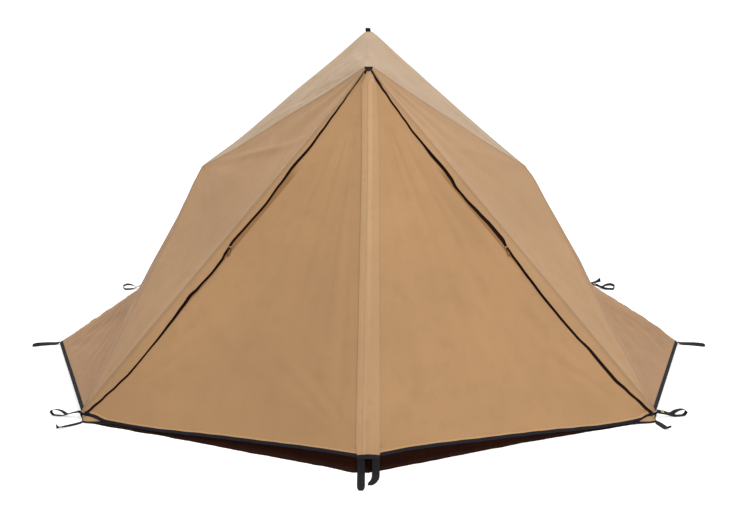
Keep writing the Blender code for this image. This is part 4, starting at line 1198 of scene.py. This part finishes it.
def flap_shade_strip(end, side):
    """A dark strip of painted shade on the leaf under the rain flap, of which a line shows beside the flap's
    edge.
    """
    here = SIDES[side]
    length = here.seam_length
    low = RAIN_FOOT_CUT / length
    high = 1.0 - FLAP_SHADE_TOP_CUT[side] / length
    widths = LEFT_RAIN if side < 0 else RIGHT_RAIN
    gaps = LEFT_GAP if side < 0 else RIGHT_GAP
    lift = -LEAF_DEPTH + 0.0004

    def place(u, v):
        share = low + (high - low) * v
        reach = along_table(widths, share) + along_table(gaps, share)
        root = here.corner.lerp(APEX_FRONT, share)
        away = here.hinge_inset + LEAF_SEAM + (reach - LEAF_SEAM) * u
        return root + here.seam_in * away + here.leaf_out * lift, Vector((reach * u, share * length))

    name = sided(end, side)
    piece = cloth(name + "_flap_shade_strip", [(6, 150, place, [])], 0.0004, here.leaf_out, SHADE_FINISH, end,
                  offset=1.0)
    dress(piece[0], name + "_leaf", "zip_tape")


def storm_shape(u, share, taper, lift=0.0):
    """A place on the strip over the centre zip; u runs from its sewn edge to its loose one."""
    reach = (-STORM_SEWN + STORM_WIDTH * u) * taper
    reach += (STORM_LEAN[0] + STORM_LEAN[1] * share) * min(1.0, (1.0 - share) / 0.25)
    reach = max(reach, -STORM_SEWN + STORM_HOLD - STORM_PAST * edge_fade(share - STORM_PAST_FROM, 0.04))
    here = SIDES[1 if reach > 0.0 else -1]
    crown = max(0.0, 1.0 - abs(reach) / (STORM_SEWN * taper)) ** STORM_ROUND
    crown *= STORM_CROWN * min(1.0, taper * 1.3)
    flat_point = TOE.lerp(APEX_FRONT, share) + here.centre_out * abs(reach)
    return flat_point + here.leaf_out * (STORM_EDGE + lift) + SIDES[-1].ahead * crown


STORM_TOP_CUT = 0.018
STORM_HOLD = 0.0005
STORM_PAST = 0.006
STORM_PAST_FROM = 0.012
STORM_BIND_BELOW = 0.0018
STORM_NARROWS = 0.46
STORM_LEAN = (-0.0055, 0.0165)


def storm_flap(end):
    """The strip over the centre zip, up to the cap."""
    reach = CENTRE_LENGTH - STORM_FOOT - STORM_TOP_CUT

    def place(u, v):
        share = (STORM_FOOT + reach * v) / CENTRE_LENGTH
        to_apex = STORM_TOP_CUT + reach * (1.0 - v)
        taper = min(1.0 - (1.0 - STORM_TOP_SHARE) * v, STORM_NARROWS * to_apex / STORM_LOOSE)
        pull = 0.0020 * wander(share * 12.0 + u * 0.8, u * 1.5, 71.0) * math.sin(math.pi * u)
        pull += 0.0016 * wander(share * 34.0 + u * 2.6, u * 3.0, 72.0) * math.sin(math.pi * u)
        pull *= edge_fade(v, 0.04)
        return storm_shape(u, share, taper, max(0.0, pull)), Vector((STORM_WIDTH * taper * u, reach * v))

    sewn_line = (Vector((0.0, 0.0)), Vector((0.0, reach)))
    piece = cloth(end + "_storm_strip", [(26, 170, place, [sewn_line])], STORM_CLOTH, SIDES[-1].ahead,
                  STRIP_FINISH, end)
    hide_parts(end + "_storm_flap")
    blend_strip(piece[0])
    declare(piece)


def blend_strip(made):
    """Bakes the strip's transform into its mesh."""
    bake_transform(made)


def storm_binding(end):
    """The black binding across the strip's foot."""
    def place(u, v):
        share = (STORM_FOOT - STORM_BIND_BELOW + (BIND_WIDTH * 0.9 + STORM_BIND_BELOW) * v) / CENTRE_LENGTH
        return storm_shape(u, share, 1.0, 0.0002), Vector((BIND_WIDTH * v, STORM_WIDTH * u))

    edge = [(Vector((BIND_WIDTH, 0.0)), Vector((BIND_WIDTH, STORM_WIDTH)))]
    made = cloth(end + "_storm_strip_binding", [(26, 5, place, edge)], BIND_CLOTH, SIDES[-1].ahead,
                 BIND_FINISH, end, offset=1.0)[0]
    dress(made, end + "_flap", "hem_binding")


# webbing
def smooth(points, steps):
    """Points along a smooth curve through a few chosen ones."""
    made = []
    padded = [points[0] * 2.0 - points[1]] + points + [points[-1] * 2.0 - points[-2]]
    for index in range(1, len(padded) - 2):
        a, b, c, d = padded[index - 1:index + 3]
        for step in range(steps):
            t = step / steps
            made.append(0.5 * ((2.0 * b) + (c - a) * t + (2.0 * a - 5.0 * b + 4.0 * c - d) * t * t
                               + (3.0 * b - a - 3.0 * c + d) * t ** 3))
    made.append(points[-1])
    return made


def settled(points, low, steps=9):
    """A smooth path through the points that never dips below the ground."""
    path = smooth(points, steps)
    for point in path:
        point.z = max(point.z, low)
    return path


def ribbon(name, path, width_from, width_to, width, thickness, end, round_tip=False, finish=WEB_FINISH,
           twist=lambda v: v):
    """Webbing along a path: thinner at its two edges, with its width turning from root to tip."""
    last = len(path) - 1
    runs = [0.0]
    for before, after in zip(path, path[1:]):
        runs.append(runs[-1] + (after - before).length)

    def place(u, v):
        step = min(last - 1, int(v * last + 1e-6))
        mix = v * last - step
        spot = path[step].lerp(path[step + 1], mix)
        sideways = width_from.lerp(width_to, twist(v)).normalized()
        narrow = 1.0
        into_tip = (v - 0.9) / 0.1
        if round_tip and into_tip > 0.0:
            narrow = math.sqrt(1.0 - 0.75 * min(1.0, into_tip) ** 2)
        run = runs[step] + (runs[step + 1] - runs[step]) * mix
        return spot + sideways * (width * (u - 0.5) * narrow), Vector((width * u, run))

    edges = [(Vector((0.0, 0.0)), Vector((0.0, runs[-1]))), (Vector((width, 0.0)), Vector((width, runs[-1])))]
    made = cloth(name, [(8, last, place, edges)], thickness, Vector((0, 0, 1)), finish, end, offset=0.0)[0]
    bevelled(made, thickness * 0.3, 2, 60.0)
    return made


def toe_strap(end, side):
    here = SIDES[side]
    foot, toe, along, up = hem_frame(here)
    back = (TOE_STRAP_X - LEAF_SIDE) / abs(along.x)
    root = toe - along * back
    drop = hem_drop(side, 1.0 - back / (toe - foot).length)
    root -= up * (BIND_CLEAR + BIND_CLOTH + STRAP_GAP + drop) + here.leaf_out * CLOTH * 0.5
    low = GROUND_GAP + STRAP_THICK * 0.5
    out = Vector((0.0, -1.0, 0.0))
    bend = Vector((root.x, root.y, low)) + out * TOE_STRAP_BEND
    middle = root.lerp(bend, TOE_STRAP_MIDDLE) + Vector((0, TOE_STRAP_SLACK, 0))
    points = [root, middle, bend + Vector((0, 0, TOE_STRAP_HEEL))]
    points += [bend + out * reach - Vector((side * curl, 0, 0)) for reach, curl in TOE_STRAP_LYING[side]]
    name = sided(end, side)
    made = ribbon(name + "_toe_webbing", settled(points, low), along * -side, Vector((1, 0, 0)), STRAP_WIDTH,
                  STRAP_THICK, end, round_tip=True)
    dress(made, name + "_leaf", "webbing", name + "_toe_strap")


def wing_strap(side):
    tip = wing(side)
    low = GROUND_GAP + STRAP_THICK * 0.5
    outward = Vector((side, 0, 0))
    root = tip + outward * (BIND_CLEAR + BIND_CLOTH + STRAP_GAP + WING_STRAP_SEAT)
    root.z = tip.z - WING_STRAP_DROP
    heel = root + outward * WING_STRAP_BEND - Vector((0, 0, WING_STRAP_HEEL))
    lying = [Vector((root.x, root.y, low + rise)) + outward * reach
             for reach, rise in zip(WING_STRAP_LYING, (0.002, 0.004, 0.005))]
    lying[-1].y -= 0.030
    lying[-2].y -= 0.012
    name = side_name("front", side) + "_wing_"
    made = ribbon(name + "webbing", settled([root, heel] + lying, low), Vector((0, 1, 0)),
                  Vector((0, 0.95, 0.3)), STRAP_WIDTH, STRAP_THICK, "front", round_tip=True)
    dress(made, "root", "webbing", name + "strap")


def corner_root(here):
    """The lowest point of the wall's cloth at its corner, where the corner webbing is sewn."""
    back = seam_inset(here.wall_out, here.side_out)
    return inset(here.corner, here.shoulder, knee(here.side), back, 0.0)


def clear_of_hem(here, root, outward, sideways, width):
    """How far out webbing starts from a corner, so that its near edge just clears the wing's hem."""
    hem = wing(here.side) - root
    hem_out = Vector((hem.y, -hem.x, 0.0)).normalized() * here.side
    away = abs(sideways.dot(hem_out)) * width * 0.5 + STRAP_GAP
    return away / outward.dot(hem_out)


def loop_pitch():
    """Distance between the two layers in the tail of a corner loop."""
    return WEB_THICK + SEAM_GAP * 2.0


def leaning(outward, lean):
    """The width of webbing that runs outward, its far edge raised by a share, or its near one if negative."""
    sideways = Vector((0, 0, 1)).cross(outward)
    sideways = sideways if sideways.y > 0.0 else -sideways
    return (sideways + Vector((0, 0, lean))).normalized()


def lift_to(made, low):
    """Raises what lies lower than a height to it."""
    for vert in made.data.vertices:
        vert.co.z = max(vert.co.z, low + (vert.co.z - low) * 0.04)


def loop_start(here):
    """Where a corner's peg loop begins, the way it runs, and where its tail ends and its eye begins."""
    root = corner_root(here)
    outward = Vector((here.side * math.cos(EYE_YAW), math.sin(EYE_YAW), 0.0))
    sideways = Vector((0, 0, 1)).cross(outward)
    begin = root + outward * clear_of_hem(here, root, outward, sideways, EYE_WIDTH)
    tail = begin + outward * EYE_TAIL
    tail.z = GROUND_GAP + WEB_THICK * 0.5 + EYE_HEIGHT * EYE_TAIL_RISE
    return begin, outward, tail


def corner_loop(end, side):
    """The corner's peg loop: one strip turned back on itself, its eye standing open."""
    begin, outward, tail = loop_start(SIDES[side])
    flat, open_eye = (leaning(outward, lean) for lean in EYE_LEAN[side])
    low = GROUND_GAP + WEB_THICK * 0.5
    far = tail + outward * EYE_LENGTH
    hump = begin.lerp(tail, EYE_TAIL_MIDDLE) + Vector((0, 0, EYE_TAIL_HUMP))
    layer = Vector((0, 0, loop_pitch()))
    top = [begin, hump, tail]
    top += [tail.lerp(far, share) + Vector((0, 0, EYE_HEIGHT * rise)) for share, rise in EYE_ARCH]
    below = [tail.lerp(far, share) for share, rise in EYE_UNDER]
    for point, (share, rise) in zip(below, EYE_UNDER):
        point.z = low + rise
    below += [tail - layer, hump - layer, begin - layer]
    name = sided(end, side) + "_corner_"
    made = ribbon(name + "eye", settled(top + below, low, 7), flat, open_eye, EYE_WIDTH, WEB_THICK, end,
                  twist=lambda v: edge_fade(min(v, 1.0 - v) - 0.20, 0.18))
    lift_to(made, GROUND_GAP)
    dress(made, "root", "webbing", name + "loop")


def corner_strap(end, side):
    here = SIDES[side]
    root = corner_root(here)
    outward = Vector((side * math.cos(CORNER_STRAP_YAW), -math.sin(CORNER_STRAP_YAW), 0.0))
    low = GROUND_GAP + STRAP_THICK * 0.5
    sideways = Vector((0, 0, 1)).cross(outward)
    width = STRAP_WIDTH * CORNER_STRAP_SHARE
    start = root + outward * clear_of_hem(here, root, outward, sideways, width) * 0.6
    start.z = root.z - loop_pitch() - (WEB_THICK + STRAP_THICK) * 0.5 - 2.0 * STRAP_GAP
    lying = [Vector((side * x, y, z)) for x, y, z in CORNER_STRAP_LYING[side]]
    name = sided(end, side) + "_corner_"
    if side < 0:
        widths = Vector((0.10, 0.99, 0.0)), Vector((0.0, 0.30, -0.95))
        turns = lambda v: v ** 6.5
    else:
        widths = Vector((0.10, 0.96, -0.25)), Vector((0.93, 0.34, 0.12))
        turns = lambda v: edge_fade(v - 0.22, 0.25)
    made = ribbon(name + "webbing", settled([start] + lying, low), *widths, width, STRAP_THICK, end,
                  round_tip=side > 0, twist=turns)
    lift_to(made, GROUND_GAP)
    dress(made, "root", "webbing", name + "strap")


# cords
def ring(name, path, radius, sides, finish, end):
    """A closed ring of round cord, with its braid laid out along and round it."""
    count = len(path)
    tangents = [(path[(index + 1) % count] - path[index - 1]).normalized() for index in range(count)]
    side = tangents[0].orthogonal().normalized()
    frames = []
    for tangent in tangents:
        side = (side - tangent * side.dot(tangent)).normalized()
        frames.append((side.copy(), tangent.cross(side)))
    runs = [0.0]
    for before, after in zip(path, path[1:] + path[:1]):
        runs.append(runs[-1] + (after - before).length)

    def place(u, v):
        index = int(round(v * count))
        first, second = frames[index % count]
        turn = math.tau * u
        co = path[index % count] + (first * math.cos(turn) + second * math.sin(turn)) * radius
        return co, Vector((turn * radius, runs[index]))

    return cloth(name, [(sides, count, place, [])], 0.0, Vector((0, 0, 1)), finish, end, wall=False)[0]


def tie_back(end, side):
    """A loop of braided cord that hangs from under the rain flap, with its toggle."""
    here = SIDES[side]
    place = here.corner.lerp(APEX_FRONT, TIE_PLACE)
    down = Vector((0, 0, -1))
    down = (down - here.leaf_out * down.dot(here.leaf_out)).normalized()
    sideways = across(down, here.leaf_out, here.centre_out * -1.0)
    rest = -LEAF_DEPTH + SEAM_GAP + TIE_CORD + 0.0006
    top = place + here.seam_in * TIE_OUT + here.leaf_out * rest
    path = []
    for index in range(TIE_STEPS):
        turn = math.tau * index / TIE_STEPS
        drop = 0.5 - 0.5 * math.cos(turn)
        half = TIE_WIDTH * 0.5 * math.sin(turn) * (1.0 - TIE_SPREAD + TIE_SPREAD * drop)
        path.append(top + sideways * half + down * (TIE_LENGTH * drop))
    name = sided(end, side)
    dress(ring(name + "_tie_cord", path, TIE_CORD, 10, CORD_FINISH, end), name + "_leaf", "tie_cord",
          name + "_tie_back")
    made = toggle()
    made.name = name + "_tie_toggle"
    spot = top + here.leaf_out * (TOGGLE_RADIUS - TIE_CORD * 0.6)
    frame_of = frame_at(spot, sideways, sideways.cross(down), down * -1.0)
    made.data.transform(turned(end) @ frame_of @ Matrix.Rotation(math.pi / 2, 4, "Y"))
    dress(made, name + "_leaf", "tie_cord")


def toggle():
    """A small wooden bar, thinner at its middle, with dished ends."""
    bpy.ops.mesh.primitive_cylinder_add(vertices=20, radius=TOGGLE_RADIUS, depth=TOGGLE_LENGTH)
    made = bpy.context.object
    open_on(made, lambda face: True)
    for towards in (1.0, -1.0):
        bpy.ops.mesh.select_all(action="SELECT")
        bpy.ops.mesh.bisect(plane_co=(0, 0, TOGGLE_LENGTH * 0.12 * towards), plane_no=(0, 0, 1))
    bpy.ops.object.mode_set(mode="OBJECT")
    open_on(made, lambda face: abs(face.center.z) < TOGGLE_LENGTH * 0.1)
    bpy.ops.transform.resize(value=(0.78, 0.78, 1.0), center_override=(0, 0, 0))
    bpy.ops.object.mode_set(mode="OBJECT")
    open_on(made, lambda face: abs(face.normal.z) > 0.9)
    bpy.ops.mesh.inset(thickness=TOGGLE_RADIUS * 0.35, depth=TOGGLE_RADIUS * 0.12)
    bpy.ops.object.mode_set(mode="OBJECT")
    bevelled(made, TOGGLE_RADIUS * 0.35, 3)
    made.data.shade_smooth()
    made.data.materials.append(TOGGLE_FINISH)
    return made


# zips
def chain_depth():
    return LEAF_DEPTH + CLOTH + SEAM_GAP + TAPE_CLOTH * 0.5


def leaf_tilt():
    leaf_out = SIDES[-1].leaf_out
    return leaf_out.angle(Vector((0, leaf_out.y, leaf_out.z)))


def chain_middle():
    return (CHAIN_HALF_GAP + CHAIN_RADIUS + chain_depth() * math.sin(leaf_tilt())) / math.cos(leaf_tilt())


TOOTH_PITCH = 0.0030


def zip_half(end, side):
    """Half of the centre zip: the tape, and a row of metal teeth clamped along its edge."""
    here = SIDES[side]
    depth = chain_depth()
    middle = chain_middle()
    length = CENTRE_LENGTH - CHAIN_TOP_CUT - CHAIN_FOOT
    name = sided(end, side) + "_zip"
    body = sided(end, side) + "_leaf"
    inner = middle - CHAIN_RADIUS * 0.3

    def place(u, v):
        away = inner + (TAPE_REACH - inner) * u
        co = TOE + here.centre_up * (CHAIN_FOOT + length * v) + here.centre_out * away - here.leaf_out * depth
        return co, Vector((away, length * v))

    edge = [(Vector((TAPE_REACH, 0.0)), Vector((TAPE_REACH, length)))]
    piece = cloth(name + "_tape", [(6, 60, place, edge)], TAPE_CLOTH, here.leaf_out, TAPE_FINISH, end,
                  offset=0.0)
    dress(piece[0], body, "zip_tape", name + "_half")
    bpy.ops.mesh.primitive_cube_add(size=1.0)
    teeth = bpy.context.object
    teeth.name = name + "_teeth"
    teeth.scale = (CHAIN_RADIUS * 1.5, CHAIN_RADIUS * 1.7, TOOTH_PITCH * 0.45)
    bpy.ops.object.transform_apply(location=False, rotation=False, scale=True)
    open_on(teeth, lambda face: face.normal.x < -0.9)
    bpy.ops.mesh.inset(thickness=TOOTH_PITCH * 0.08)
    bpy.ops.mesh.extrude_region_move(TRANSFORM_OT_translate={"value": (-CHAIN_RADIUS * 0.3, 0, 0)})
    bpy.ops.object.mode_set(mode="OBJECT")
    bevelled(teeth, TOOTH_PITCH * 0.05, 1)
    row = teeth.modifiers.new("row", "ARRAY")
    row.use_relative_offset = False
    row.use_constant_offset = True
    row.constant_offset_displace = (0.0, 0.0, TOOTH_PITCH)
    row.count = int(length / TOOTH_PITCH) - 1
    apply(teeth, row)
    shift = TOOTH_PITCH * (0.5 if side < 0 else 1.0)
    foot = TOE + here.centre_up * (CHAIN_FOOT + shift) + here.centre_out * middle - here.leaf_out * depth
    teeth.data.transform(turned(end) @ frame_at(foot, here.centre_out, here.leaf_out, here.centre_up))
    teeth.data.materials.append(TEETH_FINISH)
    recalculate(teeth)
    dress(teeth, body, "zip_tape")


def open_on(made, wanted):
    """Opens a piece for editing with the faces chosen that pass a test."""
    bpy.ops.object.select_all(action="DESELECT")
    bpy.context.view_layer.objects.active = made
    made.select_set(True)
    bpy.context.tool_settings.mesh_select_mode = (False, False, True)
    for part in (*made.data.vertices, *made.data.edges):
        part.select = False
    for face in made.data.polygons:
        face.select = wanted(face)
    bpy.ops.object.mode_set(mode="EDIT")


def recalculate(made):
    bm = bmesh.new()
    bm.from_mesh(made.data)
    bmesh.ops.recalc_face_normals(bm, faces=bm.faces)
    bm.to_mesh(made.data)
    bm.free()


# small pieces
EYELET_IN = 0.022
EYELET_ROLL = ((0.0042, -0.0020), (0.0042, 0.0), (0.0045, 0.0006), (0.0055, 0.0010), (0.0068, 0.0008),
               (0.0078, 0.0002))
TAB_HALF = {True: 0.0185, False: 0.013}
TAB_DROP = {True: 0.0180, False: 0.023}


def eyelet(end, side):
    """The brass eyelet through the root of the corner loop."""
    begin, outward, tail = loop_start(SIDES[side])
    bpy.ops.mesh.primitive_circle_add(vertices=28, radius=EYELET_ROLL[0][0], fill_type="NOTHING")
    made = bpy.context.object
    made.name = sided(end, side) + "_eyelet"
    bpy.ops.object.mode_set(mode="EDIT")
    bpy.ops.mesh.select_mode(type="EDGE")
    bpy.ops.mesh.select_all(action="SELECT")
    for (before, low), (after, high) in zip(EYELET_ROLL, EYELET_ROLL[1:]):
        bpy.ops.mesh.extrude_edges_move(TRANSFORM_OT_translate={"value": (0, 0, high - low)})
        bpy.ops.transform.resize(value=(after / before, after / before, 1.0), center_override=(0, 0, 0))
    bpy.ops.object.mode_set(mode="OBJECT")
    wall_of = made.modifiers.new("metal", "SOLIDIFY")
    wall_of.thickness = 0.0004
    apply(made, wall_of)
    sideways = leaning(outward, EYE_LEAN[side][0])
    slope = (tail - begin).normalized()
    upward = slope.cross(sideways)
    upward = -upward if upward.z < 0.0 else upward
    spot = begin + outward * EYELET_IN
    spot.z = begin.z + (tail.z - begin.z) * EYELET_IN / EYE_TAIL + WEB_THICK * 0.5 + 0.0004
    made.data.transform(turned(end) @ frame_at(spot, slope, upward.cross(slope), upward))
    made.data.shade_smooth()
    made.data.materials.append(BRASS_FINISH)
    recalculate(made)
    dress(made, "root", "slider_metal")


def ridge_tab(end):
    """The black webbing tab at a ridge end: the front one hangs half round, and the rear one stands up."""
    here = SIDES[-1]
    hanging = end == "front"
    down = (TOE - APEX_FRONT).normalized() if hanging else Vector((0.0, 0.0, -1.0))
    root = APEX_FRONT + here.ahead * 0.0095 if hanging else APEX_FRONT + Vector((0.003, 0.0025, -0.004))
    half = TAB_HALF[hanging]
    drop = TAB_DROP[hanging]

    def place(u, v):
        across_it = 2.0 * u - 1.0
        round_end = max(0.0, 1.0 - abs(across_it) ** 2.6) ** 0.42
        deep = drop * v * (round_end if hanging else 0.86 + 0.14 * round_end)
        lean = 0.12 * deep if not hanging else 0.0
        co = root + Vector((half * across_it + lean, 0.0, 0.0)) + down * (deep if hanging else -deep)
        return co, Vector((half * across_it, deep))

    seam = [(Vector((-half, 0)), Vector((half, 0)))]
    made = cloth(end + "_ridge_tab", [(20, 8, place, seam)], 0.0024, here.ahead, WEB_FINISH, end, offset=0.0,
                 settles=False)[0]
    dress(made, "root", "webbing")


def cad_finishes():
    for end in ("front", "rear"):
        for node, finish in ((end + "_pole_lower", STEEL_FINISH), (end + "_pole_upper", STEEL_FINISH),
                             (end + "_pole_foot", FOOT_FINISH), (end + "_apex_cap", CAP_FINISH),
                             (end + "_zip_slider", SLIDER_FINISH)):
            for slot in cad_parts[node].material_slots:
                slot.material = finish


# studio
LAMPS = (("key", (3.6, -5.0, 5.2), (0.0, -0.4, 0.5), 3.2, 174.0),
         ("top", (0.3, 0.4, 6.0), (0.0, 0.0, 0.6), 4.5, 122.0),
         ("fill", (-5.5, -1.8, 3.4), (0.0, 0.0, 0.5), 3.5, 40.0),
         ("back", (0.0, 5.5, 4.0), (0.0, 0.0, 0.6), 3.5, 74.0))
SURROUND_LIGHT = 0.51
FLOOR_GLOW = 0.60


def studio():
    """A white floor and surround with soft light from above, stronger from the right."""
    camera = bpy.data.cameras.new("camera")
    camera.lens = CAMERA_LENS
    camera.sensor_width = CAMERA_SENSOR
    seat = bpy.data.objects.new("camera", camera)
    seat.location = CAMERA_PLACE
    seat.rotation_euler = (CAMERA_TILT, 0.0, 0.0)
    SCENE.collection.objects.link(seat)
    SCENE.camera = seat

    SCENE.world = bpy.data.worlds.new("surround")
    SCENE.world.use_nodes = True
    surround = Nodes(SCENE.world.node_tree)
    surround.tree.nodes.clear()
    light = surround.node("Background", Color=(1.0, 0.985, 0.97), Strength=SURROUND_LIGHT)
    seen = surround.node("Background", Color=(1.0, 1.0, 1.0), Strength=1.0)
    surround.node("OutputWorld", Surface=surround.mixed(surround.seen_straight(), light, seen))

    for name, place, aim, size, power in LAMPS:
        data = bpy.data.lights.new(name, "AREA")
        data.shape = "SQUARE"
        data.size = size
        data.energy = power
        lamp = bpy.data.objects.new(name, data)
        lamp.location = place
        lamp.rotation_euler = (Vector(place) - Vector(aim)).to_track_quat("Z", "Y").to_euler()
        SCENE.collection.objects.link(lamp)

    bpy.ops.mesh.primitive_plane_add(size=60.0, location=(0.0, 0.0, 0.0))
    floor = bpy.context.object
    floor.name = "floor"
    finish = Finish("white_floor", 0.9)
    finish.set("Base Color", (0.80, 0.80, 0.80))
    plain = finish.node("Emission", Strength=0.0)
    glow = finish.node("Emission", Strength=FLOOR_GLOW)
    added = finish.node("AddShader")
    finish.put(added.inputs[0], finish.shader.outputs[0])
    finish.put(added.inputs[1], finish.mixed(finish.seen_straight(), plain, glow))
    finish.put(finish.tree.nodes["Material Output"].inputs["Surface"], added.outputs[0])
    floor.data.materials.append(finish.material)
    SCENE.view_settings.view_transform = "Standard"


def build():
    roof()
    cad_finishes()
    for side in (-1, 1):
        for make in (wall, wall_hem, wing_strap):
            make(side)
    for end in ("front", "rear"):
        for make in (storm_flap, storm_binding, ridge_tab):
            make(end)
        for side in (-1, 1):
            for make in (side_panel, door_leaf, door_hem, skirt, corner_gusset, rain_flap, flap_shade_strip,
                         toe_strap, corner_loop, corner_strap, tie_back, zip_half, eyelet):
                make(end, side)


studio()
build()
for cut in CUTS:
    print("cut", *cut)
